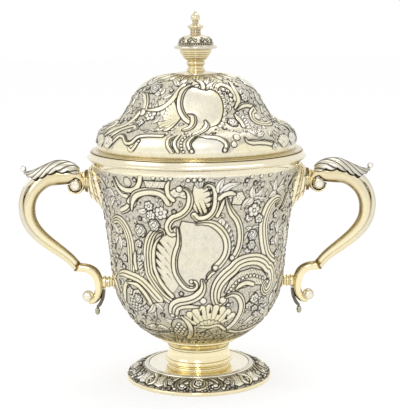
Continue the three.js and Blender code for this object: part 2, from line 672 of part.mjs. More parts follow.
// The strap keeps a gap behind the scroll, and leaves it towards the leaf's tip.
function handleStrap() {
  const path = mainPath.slice(strapStart);
  const along = headings(mainPath).slice(strapStart);
  const stretch = path.map(({ at, deep, heading }, i) => {
    const share = i / (path.length - 1);
    const thick = THREE.MathUtils.lerp(STRAP_THICKNESS, STRAP_END_THICKNESS, share) / 2;
    const out = deep + FIT_GAP + thick + (i === 0 ? STRAP_LIFT : 0);
    return {
      at: point(at.x - along[i].y * out, at.y + along[i].x * out),
      deep: thick,
      wide: THREE.MathUtils.lerp(STRAP_HALF_WIDTH, END_WIDTH, share),
      heading,
    };
  });
  return sweep([strapTop, ...stretch], BAND);
}

// The leaf's sections along the shoulder: [out, lower edge, upper edge, half width] from the upper socket
const LEAF = [
  [16.2, 5.4, 12, 5.6], [20, 6.8, 15.6, 7.2], [25.5, 7.6, 18.2, 8.2], [31.5, 7.9, 19.2, 8.8],
  [38, 8.2, 18.9, 8.8], [44, 6.2, 16.8, 8.2], [49.5, 4.6, 14.2, 7.2], [55, 3.6, 11.6, 5.8],
  [60, 3.8, 9.8, 4.2], [63.6, 5, 9.4, 2.8], [66, 7.6, 11, 1.8],
];

function handleLeaf() {
  const steps = 6;
  const rings = LEAF.map((row) => {
    const [out, low, high, wide] = row.map((length) => length * HANDLE_UNIT);
    const over = Array.from({ length: steps + 1 }, (_, k) => {
      const turn = Math.PI * (1 - k / steps);
      return [wide * Math.cos(turn), low + (high - low) * Math.sin(turn)];
    });
    const hollow = low + (high - low) * 0.4;
    const under = [[wide * 0.72, low], [0, hollow], [-wide * 0.72, low]];
    return [...over, ...under].map(([y, up]) => new THREE.Vector3(upper.x + out, y, upper.y + up));
  });
  const [tipOut, , tipUp] = LEAF.at(-1);
  const tip = onHandle(upper, tipOut + 0.6, tipUp + 0.6);
  const bead = new THREE.SphereGeometry(LEAF_BEAD_RADIUS, 8, 6)
    .rotateX(Math.PI / 2)
    .translate(tip.x, 0, tip.y);
  return cut(join(skin(rings.toReversed()), bead), sweep(mainPath, ROUND, FIT_GAP), scrollRoot(FIT_GAP));
}

// The lower scroll, from the bevelled face round to the ball at its end
const lowerPath = stationsFrom(lower, [
  [32.8, 14.1, 4.6, 4.1], [29.1, 13.7, 3.3, 4.2], [25.6, 13.5, 3.3, 4.3], [21.9, 12.4, 3.6, 4.4],
  [18.3, 9.5, 4, 4.4], [15.5, 5.1, 4.2, 4.4], [14, 0, 4.2, 4.4], [13.6, -5, 4, 4.3], [14.3, -10, 3.7, 4.2],
  [15.6, -13.9, 3.1, 4], [17.8, -17.2, 2.4, 3.7], [20.6, -19, 1.7, 3.4], [23.3, -19.3, 1.2, 3],
]);
lowerPath[0] = {
  ...lowerPath[0],
  at: scrollEnd.clone().addScaledVector(bevelSide, -1.5 * HANDLE_UNIT).addScaledVector(BEVEL, FIT_GAP),
  heading: BEVEL,
};

function handleLowerScroll() {
  const end = lowerPath.at(-1);
  const ball = new THREE.SphereGeometry(BALL_RADIUS, 10, 8)
    .rotateX(Math.PI / 2)
    .translate(end.at.x, 0, end.at.y + end.deep + BALL_RADIUS - 0.6);
  return join(sweep(lowerPath, ROUND), ball);
}

const lowerEnvelope = () => sweep(lowerPath, ROUND, FIT_GAP);

// The bowl with a gap round it, for cutting what is soldered to its wall.
const bowlEnvelope = () => turnedSolid(offset(bowlWall, -FIT_GAP));

function handleCollar() {
  const [waist, edge] = [HANDLE_COLLAR_RADIUS - 0.9, HANDLE_COLLAR_RADIUS];
  return turnedAlongX([
    [edge - 0.3, 0], [edge, 0.25 * HANDLE_COLLAR_LENGTH], [waist, 0.5 * HANDLE_COLLAR_LENGTH],
    [edge - 0.2, 0.8 * HANDLE_COLLAR_LENGTH], [edge - 0.6, HANDLE_COLLAR_LENGTH],
  ], RING_SIDES).translate(collarStart, 0, upper.y);
}

// The plate's steps: [out, reach below, reach above, half width, lean] from the upper socket. The lean follows
// the flare of the bowl.
const PLATE_STEPS = [
  [-5, 28.3, 16, 19, 0.23], [1, 28.3, 16, 19, 0.23],
  [2.6, 25.6, 14.4, 17.2, 0.22], [4.2, 20.4, 12.8, 15, 0.2],
  [5.2, 19.8, 12.4, 14.6, 0.18], [7, 16.6, 11.6, 13, 0.1],
  [7.6, 12, 11, 11.4, 0.02], [8.3, 10.8, 10.6, 10.8, 0],
];

function handlePlate() {
  const sides = 16;
  const rings = PLATE_STEPS.map(([out, below, above, wide, lean]) =>
    Array.from({ length: sides }, (_, k) => {
      const turn = (k / sides) * 2 * Math.PI;
      const up = Math.sin(turn) * (Math.sin(turn) < 0 ? below : above) * HANDLE_UNIT;
      const x = upper.x + Math.min(out * HANDLE_UNIT + lean * up, HANDLE_PLATE_PROUD);
      return new THREE.Vector3(x, wide * Math.cos(turn) * HANDLE_UNIT, upper.y + up);
    }));
  return cut(skin(rings), bowlEnvelope());
}

function handleSocket() {
  const back = lowerPath[6].at.x - lowerPath[6].deep - FIT_GAP - lower.x;
  const [bead, waist] = [LOWER_SOCKET_RADIUS, LOWER_SOCKET_RADIUS - 1.4];
  const rings = [
    [bead + 0.6, -4], [bead + 0.6, back * 0.12], [waist, back * 0.24],
    [waist, back * 0.4], [bead - 0.2, back * 0.5], [waist + 0.2, back * 0.64],
    [waist + 0.2, back * 0.74], [bead + 0.4, back * 0.84], [bead + 0.4, back * 0.96],
  ];
  return cut(turnedAlongX(rings, RING_SIDES).translate(lower.x, 0, lower.y), bowlEnvelope(), lowerEnvelope());
}

// The tail leaf clings to the lower scroll's back and ends in a drop.
function handleTail() {
  const path = stationsFrom(lower, [
    [8.3, -7, 0.9, 2.8], [8.6, -11.5, 1.1, 3.8], [10, -16.6, 1.2, 4],
    [12.6, -20.8, 1.4, 3.6], [15.8, -23.4, 1.3, 2.2],
  ]);
  const tip = path.at(-1).at;
  const drop = new THREE.LatheGeometry([
    point(0, -DROP_LENGTH), point(DROP_RADIUS * 0.8, -DROP_LENGTH * 0.88),
    point(DROP_RADIUS, -DROP_LENGTH * 0.6), point(DROP_RADIUS * 0.7, -DROP_LENGTH * 0.3),
    point(DROP_RADIUS * 0.4, 0), point(0, 0.2),
  ], 10).rotateX(Math.PI / 2).translate(tip.x, 0, tip.y + 0.4);
  return cut(join(sweep(path, ROUND), drop), lowerEnvelope());
}

// Assembly

function piece(name, geometry, finish) {
  const mesh = new THREE.Mesh(geometry, new THREE.MeshStandardMaterial(finish));
  mesh.name = name;
  return mesh;
}

const cup = new THREE.Group();
cup.add(
  piece('foot_wire', footWire(), GILT),
  piece('foot_border', footBorder(), SILVER),
  piece('foot_inner_wire', footInnerWire(), SILVER),
  piece('foot_dish', footDish(), GILT),
  piece('stem_collar', stemCollar(), GILT),
  piece('stem_knop', stemKnop(), GILT),
  piece('stem_neck', stemNeck(), GILT),
  piece('bowl_calyx', bowlCalyx(), GILT),
  piece('bowl', bowl(), CHASED_GILT),
  piece('bowl_lip', bowlLip(), GILT),
);

const cover = new THREE.Group();
cover.add(
  piece('cover_bezel', coverBezel(), GILT),
  piece('cover_flange', coverFlange(), GILT),
  piece('cover_dome', coverDome(), CHASED_GILT),
  piece('finial_base', finialBase(), GILT),
  piece('finial_vase', finialVase(), GILT),
  piece('finial_plate', finialPlate(), GILT),
  piece('finial_dome', finialDome(), CHASED_GILT),
  piece('finial_spool', finialSpool(), GILT),
  piece('finial_button', finialButton(), GILT),
  piece('finial_bud', finialBud(), GILT),
  piece('finial_stud', finialStud(), PLAIN_SILVER),
  piece('finial_washer', finialWasher(), PLAIN_SILVER),
  piece('finial_nut', finialNut(), PLAIN_SILVER),
);

// Both handles are the same casting, and the left one is turned half round the cup.
function handle(side, turn) {
  const group = new THREE.Group();
  group.rotation.z = turn;
  group.add(
    piece(`${side}_handle_plate`, handlePlate(), GILT),
    piece(`${side}_handle_collar`, handleCollar(), GILT),
    piece(`${side}_handle_scroll`, handleScroll(), GILT),
    piece(`${side}_handle_boss`, handleBoss(), GILT),
    piece(`${side}_handle_strap`, handleStrap(), GILT),
    piece(`${side}_handle_leaf`, handleLeaf(), SILVER),
    piece(`${side}_handle_lower_scroll`, handleLowerScroll(), GILT),
    piece(`${side}_handle_socket`, handleSocket(), GILT),
    piece(`${side}_handle_tail`, handleTail(), SILVER),
  );
  return group;
}

const assembly = new THREE.Group();
assembly.add(cup, cover, handle('right', 0), handle('left', Math.PI));

export default assembly;
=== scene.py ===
# A silver-gilt two-handled cup and cover, chased all over, dressed on its solid model.
import math

import bpy
import numpy as np
from mathutils import Matrix, Vector


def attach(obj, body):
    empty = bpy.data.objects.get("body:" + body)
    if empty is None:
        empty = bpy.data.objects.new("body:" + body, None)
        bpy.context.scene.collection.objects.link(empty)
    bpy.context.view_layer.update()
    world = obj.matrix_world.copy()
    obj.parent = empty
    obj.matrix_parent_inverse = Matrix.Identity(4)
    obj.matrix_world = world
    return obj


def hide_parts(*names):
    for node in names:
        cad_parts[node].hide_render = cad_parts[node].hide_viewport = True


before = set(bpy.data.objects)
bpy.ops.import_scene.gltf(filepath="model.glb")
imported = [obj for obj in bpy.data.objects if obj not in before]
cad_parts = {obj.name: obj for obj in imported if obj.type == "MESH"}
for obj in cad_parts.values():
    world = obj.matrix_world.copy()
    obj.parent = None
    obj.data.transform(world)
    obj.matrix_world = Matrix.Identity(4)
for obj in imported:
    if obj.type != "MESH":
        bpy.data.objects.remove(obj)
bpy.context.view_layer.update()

# Lengths are written in millimetres, and meshes are made in metres
MM = 0.001
CUP_SIDES = 240
FINIAL_SIDES = 96
TUBE_SIDES = 40
# The sine of the least turn that counts as a corner, and how far from a corner the flat begins
CORNER = 0.3
EDGE = 0.3
# The thickness of the raised sheet
WALL = 1.5
# What each point tells its material: polish over matted ground, with painted highlight added on crests; dark
# line, from engraving with its patina and from painted shade in creases, crevices and gaps; painted shade,
# brown, standing for darker reflections; and gilding
FIELDS = ("tone", "line", "dusk", "gold")


# Curves

def cubic(start, first, second, end, steps):
    """A cubic curve from start to end by its two handles."""
    t = np.linspace(0, 1, steps + 1)[:, None]
    return (1 - t) ** 3 * start + 3 * (1 - t) ** 2 * t * first + 3 * (1 - t) * t * t * second + t ** 3 * end


def bend(start, end, leave, arrive, steps):
    """A smooth stretch of outline. leave and arrive are its handles, as shares of the way across and up."""
    start, end = np.array(start, float), np.array(end, float)
    return cubic(start, start + (end - start) * leave, start + (end - start) * arrive, end, steps)


def spline(points, steps):
    """A smooth line through points, with so many steps between neighbours."""
    p = np.array(points, float)
    if len(p) < 3:
        t = np.linspace(0, 1, steps + 1)[:, None]
        return p[0] * (1 - t) + p[1] * t
    p = np.vstack([2 * p[0] - p[1], p, 2 * p[-1] - p[-2]])
    t = (np.arange(steps) / steps)[:, None]
    out = []
    for a, b, c, d in zip(p, p[1:], p[2:], p[3:]):
        square, cube = 2 * a - 5 * b + 4 * c - d, 3 * b - a - 3 * c + d
        out.append(0.5 * (2 * b + (c - a) * t + square * t * t + cube * t ** 3))
    return np.vstack(out + [p[-2:-1]])


def arc_length(points):
    """How far along the line each of its points is."""
    return np.concatenate([[0], np.cumsum(np.linalg.norm(np.diff(points, axis=0), axis=1))])


def even(points, count):
    """The same line with so many points, evenly spaced."""
    points = np.asarray(points, float)
    along = arc_length(points)
    at = np.linspace(0, along[-1], count)
    return np.stack([np.interp(at, along, column) for column in points.T], 1)


def ahead(points):
    """The direction of travel at each point of a line."""
    way = np.gradient(np.asarray(points, float), axis=0)
    return way / np.linalg.norm(way, axis=1)[:, None]


def sideways(outline, distance):
    """The outline moved to its left."""
    way = ahead(outline)
    return outline + np.stack([-way[:, 1], way[:, 0]], 1) * distance


def smooth(low, high, value):
    """A soft step from 0 at low to 1 at high."""
    t = np.clip((value - low) / (high - low), 0, 1)
    return t * t * (3 - 2 * t)


def circle(sides):
    """The turn of each of so many even steps round, from 0."""
    return np.arange(sides) / sides * 2 * math.pi


# Shapes: points, faces and fields, made into objects at the end

class Shape:
    """Points in millimetres, faces between them and a value of each field at each point."""

    def __init__(self, points, quads, triangles=(), **fields):
        self.points = np.asarray(points, float).reshape(-1, 3)
        self.quads = np.asarray(quads, np.int32).reshape(-1, 4)
        self.triangles = np.asarray(triangles, np.int32).reshape(-1, 3)
        count = len(self.points)
        self.fields = {name: np.array(np.broadcast_to(np.clip(np.ravel(fields.get(name, 0)), 0, 1), count))
                       for name in FIELDS}

    def placed(self, at, axis=None):
        """The shape at [x, z] in the plane Y = 0, after a quarter turn about an axis where one is named."""
        turn = Matrix.Rotation(math.pi / 2, 4, axis) if axis else Matrix.Identity(4)
        m = np.array(Matrix.Translation((at[0], 0, at[1])) @ turn)
        self.points = self.points @ m[:3, :3].T + m[:3, 3]
        return self

    def darken(self, field, value):
        """Raises a field where it is less than the value."""
        self.fields[field] = np.maximum(self.fields[field], value)


def added(name, data):
    """A new object in the scene."""
    thing = bpy.data.objects.new(name, data)
    bpy.context.scene.collection.objects.link(thing)
    return thing


def make(name, *shapes, sharp=50, flip=False):
    """One mesh object out of shapes. flip turns it half round the cup."""
    points = np.vstack([shape.points for shape in shapes])
    if flip:
        points = points * [-1, -1, 1]
    starts = np.cumsum([0] + [len(shape.points) for shape in shapes])
    quads = np.vstack([shape.quads + start for shape, start in zip(shapes, starts)])
    triangles = np.vstack([shape.triangles + start for shape, start in zip(shapes, starts)])
    loops = np.concatenate([quads.ravel(), triangles.ravel()]).astype(np.int32)
    begins = np.concatenate([np.arange(len(quads)) * 4, len(quads) * 4 + np.arange(len(triangles)) * 3])
    mesh = bpy.data.meshes.new(name)
    mesh.vertices.add(len(points))
    mesh.vertices.foreach_set("co", (points * MM).ravel())
    mesh.loops.add(len(loops))
    mesh.loops.foreach_set("vertex_index", loops)
    mesh.polygons.add(len(begins))
    mesh.polygons.foreach_set("loop_start", begins.astype(np.int32))
    mesh.update(calc_edges=True)
    mesh.polygons.foreach_set("use_smooth", np.ones(len(begins), bool))
    if sharp:
        mesh.set_sharp_from_angle(angle=math.radians(sharp))
    for field in FIELDS:
        values = np.concatenate([shape.fields[field] for shape in shapes])
        mesh.attributes.new(field, "FLOAT", "POINT").data.foreach_set("value", values.astype(np.float32))
    mesh.validate()
    return added(name, mesh)


def grid_quads(rows, sides, closed):
    """Quads between rings of points. The last ring joins the first where closed."""
    i = np.arange(rows if closed else rows - 1)[:, None]
    k = np.arange(sides)[None]
    here, up, on = i * sides, (i + 1) % rows * sides, (k + 1) % sides
    return np.stack([here + k, here + on, up + on, up + k], -1).reshape(-1, 4)


def fans(rows, sides):
    """Triangles that close the first and the last ring on two poles, which follow the rings' points."""
    k = np.arange(sides)
    on = (k + 1) % sides
    last = (rows - 1) * sides
    first_pole, last_pole = rows * sides, rows * sides + 1
    return np.concatenate([
        np.stack([np.full(sides, first_pole), on, k], 1),
        np.stack([np.full(sides, last_pole), last + k, last + on], 1),
    ])


def crisp(outline, closed):
    """The outline with a point just before and after each corner, and how deep a groove each corner is."""
    p = np.asarray(outline, float)
    keep = [0] + [i for i in range(1, len(p)) if np.linalg.norm(p[i] - p[i - 1]) > 1e-6]
    p = p[keep]
    if closed and np.linalg.norm(p[0] - p[-1]) < 1e-6:
        p = p[:-1]
    before, after = np.roll(p, 1, 0), np.roll(p, -1, 0)
    if not closed:
        before[0], after[-1] = p[0], p[-1]
    came, goes = p - before, after - p
    room_in, room_out = np.linalg.norm(came, axis=1), np.linalg.norm(goes, axis=1)
    turn = (came[:, 0] * goes[:, 1] - came[:, 1] * goes[:, 0]) / np.maximum(room_in * room_out, 1e-9)
    out, groove = [], []
    for point, a, b, la, lb, t in zip(p, came, goes, room_in, room_out, turn):
        corner = abs(t) > CORNER
        if corner and la > 3 * EDGE:
            out.append(point - a / la * EDGE)
            groove.append(0)
        out.append(point)
        groove.append(max(0, -t) if corner else 0)
        if corner and lb > 3 * EDGE:
            out.append(point + b / lb * EDGE)
            groove.append(0)
    return np.array(out), np.array(groove)


def spun(radius, up, turn):
    """Rings of points about the Z axis. turn is 0 at the front."""
    return np.stack(np.broadcast_arrays(radius * np.sin(turn), -radius * np.cos(turn), up), -1)


def capped(rings, poles=None, flipped=False, **fields):
    """Rings closed on a pole at each end. A field that is given point by point is 0 at the poles."""
    rows, sides = rings.shape[:2]
    if poles is None:
        poles = [rings[0].mean(0), rings[-1].mean(0)]
    order = -1 if flipped else 1
    fields = {name: np.append(value, [0, 0]) if np.ndim(value) else value for name, value in fields.items()}
    return Shape(np.vstack([rings.reshape(-1, 3), poles]), grid_quads(rows, sides, False)[:, ::order],
                 fans(rows, sides)[:, ::order], **fields)


def lathe(outline, sides=CUP_SIDES, closed=True, gold=1.0, dusk=0.0):
    """A turned shape. Its outline runs up the outside and down the inside, or from the axis back to it."""
    p, groove = crisp(outline, closed)
    points = spun(p[:, :1], p[:, 1:], circle(sides))
    # Painted shade: a dark line in each concave corner of the outline
    line = np.repeat(groove[:, None], sides, 1)
    if closed:
        return Shape(points, grid_quads(len(p), sides, True), line=line, tone=1, gold=gold, dusk=dusk)
    return capped(points[1:-1], points[[0, -1], 0], line=line[1:-1], tone=1, gold=gold, dusk=dusk)


def outline_of(*parts):
    """An outline from points, smooth stretches and other outlines, in order."""
    return np.vstack([np.atleast_2d(np.asarray(part, float)) for part in parts])


def bulge(start, end, out, steps=8):
    """A round stretch from start to end, standing out to the right by so much, or in where negative."""
    start, end = np.array(start, float), np.array(end, float)
    way = end - start
    side = np.array([way[1], -way[0]]) / np.linalg.norm(way)
    t = np.linspace(0, math.pi, steps + 1)
    return start + np.outer((1 - np.cos(t)) / 2, way) + np.outer(np.sin(t) * out, side)


# Chased charts

class Chart:
    """One repeat of a chased surface, unrolled: degrees round the cup across, millimetres of outline up.

    What is drawn on it overlays what is there. Places are [degrees, millimetres up].
    """

    # A band's half width at its widest, as a share of the width that it is given
    BAND = 0.65
    # Half the width of an engraved line
    GROOVE = 0.62

    def __init__(self, outline, repeats, step):
        outline = np.asarray(outline, float)
        along = arc_length(outline)
        self.repeats = repeats
        self.span = 360 / repeats
        self.rows = int(round(along[-1] / step)) + 1
        self.cols = int(round(math.radians(self.span) * outline[:, 0].max() / step))
        self.arc = np.linspace(0, along[-1], self.rows)
        self.profile = np.stack([np.interp(self.arc, along, column) for column in outline.T], 1)
        self.scale = self.profile[:, 0] * math.pi / 180
        self.height, self.tone, self.line, self.dusk, self.gold = np.zeros((5, self.rows, self.cols))

    def window(self, points, margin):
        """The part of the chart near some points: its indices, degrees across, millimetres up and scale."""
        p = np.atleast_2d(points)
        low, high = np.searchsorted(self.arc, [p[:, 1].min() - margin, p[:, 1].max() + margin])
        rows = np.arange(max(low - 1, 0), min(high + 1, self.rows))
        reach = margin / self.scale[rows].min()
        start, stop = p[:, 0].min() - reach, p[:, 0].max() + reach
        most = int(min(math.ceil((stop - start) / self.span * self.cols) + 1, self.cols))
        first = int(math.floor((start / self.span + 0.5) * self.cols))
        cols = np.arange(first, first + most)
        across = (cols / self.cols - 0.5) * self.span
        at = np.ix_(rows, cols % self.cols)
        return at, across[None], self.arc[rows][:, None], self.scale[rows][:, None]

    def scale_at(self, up):
        """Millimetres in a degree, and in a millimetre, at a height."""
        return np.array([np.interp(up, self.arc, self.scale), 1])

    def engrave(self, at, mark, depth, dark=1.0):
        """Darkens and sinks the metal where it is marked. The darkening is partly patina and partly painted
        shade in the cut.
        """
        self.line[at] = np.maximum(self.line[at], mark * dark)
        self.height[at] -= mark * depth

    def lay(self, at, outside, height, tone, line, rim=0.6, dark=1.0, gold=0.4):
        """Lays a shape over what is there. outside is the distance out of it, negative within."""
        cover = smooth(0.35, -0.35, outside)
        for field, value in ((self.height, height), (self.tone, tone), (self.line, line), (self.gold, gold)):
            field[at] = field[at] * (1 - cover) + value * cover
        # A dark rim round the shape: painted shade in the crevice at its edge, partly patina
        self.engrave(at, np.exp(-((outside - 0.2) / rim) ** 2) * dark, 0.2)

    def trace(self, path, margin):
        """Distance from a path, the share of the way along it and the side, over its window."""
        at, across, up, scale = self.window(path, margin)
        best = np.full(np.broadcast(across, up).shape, 1e9)
        share, side = np.zeros_like(best), np.ones_like(best)
        ends = arc_length(path * [scale.mean(), 1])
        ends /= ends[-1]
        for i in range(len(path) - 1):
            ax, ay = (path[i, 0] - across) * scale, path[i, 1] - up
            dx, dy = (path[i + 1, 0] - path[i, 0]) * scale, path[i + 1, 1] - path[i, 1]
            t = np.clip(-(ax * dx + ay * dy) / np.maximum(dx * dx + dy * dy, 1e-9), 0, 1)
            away = np.hypot(ax + t * dx, ay + t * dy)
            closer = away < best
            best = np.where(closer, away, best)
            share = np.where(closer, ends[i] + t * (ends[i + 1] - ends[i]), share)
            side = np.where(closer, np.sign(ax * dy - ay * dx), side)
        return at, best, share, side

    def band(self, points, width, ends=(0.4, 1), lines=(0.42,), height=1.0, ball=0):
        """A raised scroll along points, tapering from and to shares of its width, with engraved lines."""
        path, widest = spline(points, 5), width * self.BAND
        at, away, share, side = self.trace(path, widest + 2)
        half = widest * np.interp(share, [0, 0.25, 0.75, 1], [ends[0], 1, 1, ends[1]])
        q = away / half
        swell = height * np.sqrt(np.clip(1 - np.clip(q, 0, 1) ** 3, 0, 1))
        line = np.zeros_like(q)
        for offset in lines:
            groove = np.exp(-((side * q - offset) * half / self.GROOVE) ** 2) * (q < 1)
            swell = swell - 0.4 * groove
            line = np.maximum(line, groove)
        self.lay(at, away - half, swell, 1.0, line, gold=0.7)
        if ball:
            self.boss(path[-1], ball)

    def rib(self, points, width, **settings):
        """A scroll without engraved lines."""
        self.band(points, width, lines=(), **settings)

    def polar(self, centre, radius):
        """The window round a centre, with the distance from it and the angle from the right."""
        at, across, up, scale = self.window(centre, radius + 2)
        x, y = (across - centre[0]) * scale, up - centre[1] + 0 * across
        return at, np.hypot(x, y), np.arctan2(y, x)

    def boss(self, centre, radius, height=0.9, tone=1.0):
        """A round boss."""
        at, away, _ = self.polar(centre, radius)
        dome = height * np.sqrt(np.clip(1 - (away / radius) ** 2, 0, 1)) + 0.1
        self.lay(at, away - radius, dome, tone, 0, rim=0.5)

    def flower(self, centre, radius, petals=6):
        """An open flower with rounded petals and a button."""
        turn, height = 0.3, 1.1
        at, away, angle = self.polar(centre, radius)
        lobe = np.abs(np.cos(petals * (angle - turn) / 2))
        edge = radius * (0.55 + 0.45 * np.sqrt(lobe))
        q = away / radius
        petal = height * np.clip(1 - ((q - 0.6) / 0.5) ** 2, 0, 1) * (0.35 + 0.65 * np.sqrt(lobe))
        seam = (1 - lobe) ** 4 * smooth(0.2, 0.35, q)
        button = np.exp(-((q - 0.29) / 0.08) ** 2)
        swell = np.where(q < 0.24, height * 0.9, petal)
        self.lay(at, away - edge, swell, 1.0, np.maximum(seam, button), rim=0.75, gold=0.15)

    def rose(self, centre, radius):
        """A full flower: rings of petals round a button."""
        at, away, angle = self.polar(centre, radius)
        q = away / radius
        edge = radius * (0.88 + 0.12 * np.abs(np.cos(3 * angle)))
        ring = np.exp(-((q - 0.36 - 0.06 * np.cos(4 * angle)) / 0.08) ** 2)
        outer = np.exp(-((q - 0.7 - 0.07 * np.cos(5 * angle + 1)) / 0.07) ** 2)
        swell = 1.2 * (1 - 0.45 * q ** 2) - 0.35 * (ring + outer)
        self.lay(at, away - edge, swell, 1.0, np.maximum(ring, outer), rim=0.75, gold=0.15)

    def leaf(self, base, tip, width, lean, height=0.9, teeth=0):
        """A pointed leaf with a vein. lean bends it to its left, as a share of its length."""
        base, tip = np.array(base, float), np.array(tip, float)
        scale = self.scale_at(base[1])
        way = (tip - base) * scale
        mid = (base + tip) / 2 + np.array([-way[1], way[0]]) * lean / scale
        at, away, share, _ = self.trace(spline([base, mid, tip], 6), width)
        half = width / 2 * np.sin(math.pi * np.clip(share, 0.02, 1) ** 0.7) ** 0.8
        if teeth:
            half = half * (0.8 + 0.2 * np.abs(np.sin(math.pi * teeth * share)))
        half = np.maximum(half, 0.05)
        q = away / half
        vein = np.exp(-(away / 0.4) ** 2) * smooth(1, 0.8, share)
        swell = height * np.clip(1 - q ** 2, 0, 1) ** 0.5 - 0.25 * vein
        self.lay(at, away - half, swell, 1.0, vein * 0.8, rim=0.5, dark=0.85, gold=0.25)

    def spray(self, base, tips, width):
        """Leaves from one base to many tips, bent to either side by turns."""
        for i, tip in enumerate(tips):
            self.leaf(base, tip, width, 0.12 if i % 2 else -0.12)

    def fronds(self, points, reach, count, slant=0.3):
        """A row of small leaves that stand off a path to its left, leaning along it."""
        path = even(spline(points, 5), count + 1)
        for a, b in zip(path, path[1:]):
            scale = self.scale_at(a[1])
            way = (b - a) * scale
            length = np.linalg.norm(way)
            off = np.array([-way[1], way[0]]) / length * reach + way / length * abs(reach) * slant
            base = (a + b) / 2
            self.leaf(base, base + off / scale, length * 1.15, 0.08)

    def shell(self, hinge, radius, facing, spread, ribs, height=1.1, tone=1.0, gold=0.4):
        """A ribbed fan with a scalloped edge. facing is the way it opens, in degrees from the right."""
        at, away, angle = self.polar(hinge, radius)
        angle = (np.degrees(angle) - facing + 180) % 360 - 180
        lobe = np.abs(np.cos(math.pi * (angle / spread * ribs + (0.5 if ribs % 2 == 0 else 0))))
        edge = radius * (0.88 + 0.12 * np.sqrt(lobe))
        wide = (np.abs(angle) - spread / 2) * math.pi / 180 * away
        q = np.clip(away / radius, 0, 1)
        swell = height * (0.3 + 0.7 * q) * (0.4 + 0.6 * np.sqrt(lobe)) * smooth(1.05, 0.9, q)
        line = (1 - lobe) ** 3 * smooth(0.05, 0.2, q)
        self.lay(at, np.maximum(away - edge, wide), swell, tone, line * 0.9, gold=gold)

    def grapes(self, centre, across, up, radius):
        """A bunch of round berries in an oval, in close rows."""
        scale = self.scale_at(centre[1])[0]
        for row in range(-int(up / radius) - 1, int(up / radius) + 2):
            y = row * radius * 1.75
            for col in range(-int(across / radius) - 1, int(across / radius) + 2):
                x = (col + 0.5 * (row % 2)) * radius * 2
                if (x / across) ** 2 + (y / up) ** 2 < 1:
                    self.boss((centre[0] + x / scale, centre[1] + y), radius * 0.98, height=0.8)

    def inside(self, corners):
        """The window of a shape with corners, and how far outside it each point lies."""
        path = np.array(list(corners) + [corners[0]], float)
        at, away, _, _ = self.trace(path, 3)
        _, across, up, scale = self.window(path, 3)
        odd = np.zeros(away.shape, bool)
        for (x0, y0), (x1, y1) in zip(path, path[1:]):
            if y0 != y1:
                odd ^= ((up > min(y0, y1)) & (up <= max(y0, y1))
                        & (across < x0 + (up - y0) * (x1 - x0) / (y1 - y0)))
        return at, np.where(odd, -away, away), across * scale, up + 0 * across

    def panel(self, corners, height=0.35, tone=0.85, dark=0.6, gold=0.35):
        """A plain raised field with rounded corners."""
        at, outside, _, _ = self.inside(list(spline(list(corners) + [corners[0]], 4))[:-1])
        self.lay(at, outside, height * smooth(0, -6, outside) + 0.1, tone, 0, dark=dark, gold=gold)

    def wedges(self, starts, way, length, width, dark=0.9):
        """Dark tapering cuts from each start, as between a leaf's lobes. way is in degrees from the right."""
        for start in starts:
            scale = self.scale_at(start[1])
            step = np.array([math.cos(math.radians(way)), math.sin(math.radians(way))]) * length / scale
            path = np.array([start, np.array(start) + step])
            at, away, share, _ = self.trace(path, width + 1)
            half = np.maximum(width / 2 * (1 - share), 0.01)
            self.engrave(at, smooth(0.35, -0.35, away - half), 0.5, dark)

    def scales(self, corners, size=2.8, tone=0.8):
        """A field of small overlapping scales, dark between."""
        at, outside, x, y = self.inside(corners)
        x, y = x / size, y / size * 1.25
        best = np.zeros(outside.shape)
        for shift in (0, 1):
            row = np.floor(y) + shift
            u = (x + 0.5 * (row % 2)) % 1 - 0.5
            away = np.hypot(u, (y - row) * 0.8)
            best = np.maximum(best, np.clip(1 - (away / 0.55) ** 2, 0, 1))
        self.lay(at, outside, best * 0.7, tone * smooth(0.1, 0.45, best), smooth(0.35, 0.05, best) * 0.9)

    def pearls(self, points, radius):
        """A row of round beads along a path."""
        path = spline(points, 6)
        length = arc_length(path * self.scale_at(path[:, 1].mean()))[-1]
        for point in even(path, max(2, int(length / (radius * 2.3)) + 1)):
            self.boss(point, radius, height=0.7)

    def sprigs(self, low, high, seed, reach, chance=1.0, sides=(0, 90)):
        """Small leaves and flowers in the bare ground, on sides so many degrees from the front."""
        rng = np.random.default_rng(seed)
        for up in np.arange(low, high, reach * 1.5):
            scale = self.scale_at(up)[0]
            for across in np.arange(-self.span / 2, self.span / 2, reach * 1.6 / scale):
                shift, kind, keep = rng.uniform(-0.5, 0.5, 2) * reach, rng.integers(5), rng.random() < chance
                centre = np.array([across + shift[0] / scale, up + shift[1]])
                from_front = abs((centre[0] + self.span / 2) % self.span - self.span / 2)
                at, away, _ = self.polar(centre, reach)
                taken = (self.height[at][away < reach] > 0.08).any()
                if taken or not keep or not sides[0] <= from_front <= sides[1]:
                    continue
                turn = math.pi / 2 + 1.1 * math.sin(centre[0] / 9) + 0.9 * math.sin(centre[1] / 11)
                step = np.array([math.cos(turn) / scale, math.sin(turn)]) * reach
                if kind == 0:
                    self.flower(centre, reach * 0.85, 5)
                else:
                    self.leaf(centre - step, centre + step, reach * 1.25, 0.15 if kind % 2 else -0.15)

    def finish(self):
        """Paints shade into the hollows beside what is raised, and paints highlight on the crests."""
        spread = self.height
        for _ in range(3):
            around = np.roll(spread, 1, 1) + np.roll(spread, -1, 1)
            above, below = np.vstack([spread[1:], spread[-1:]]), np.vstack([spread[:1], spread[:-1]])
            spread = (spread * 2 + around + above + below) / 6
        over = self.height - spread
        self.line = np.clip(np.maximum(self.line, np.clip(-over * 2, 0, 0.75)), 0, 1)
        self.tone = np.clip(self.tone + np.clip(over, -0.3, 0.3), 0, 1)

    def bare(self, plain):
        """Takes the chasing off where plain is 1, and leaves the metal smooth."""
        self.height *= 1 - plain
        self.line *= 1 - plain
        self.tone = self.tone * (1 - plain) + plain

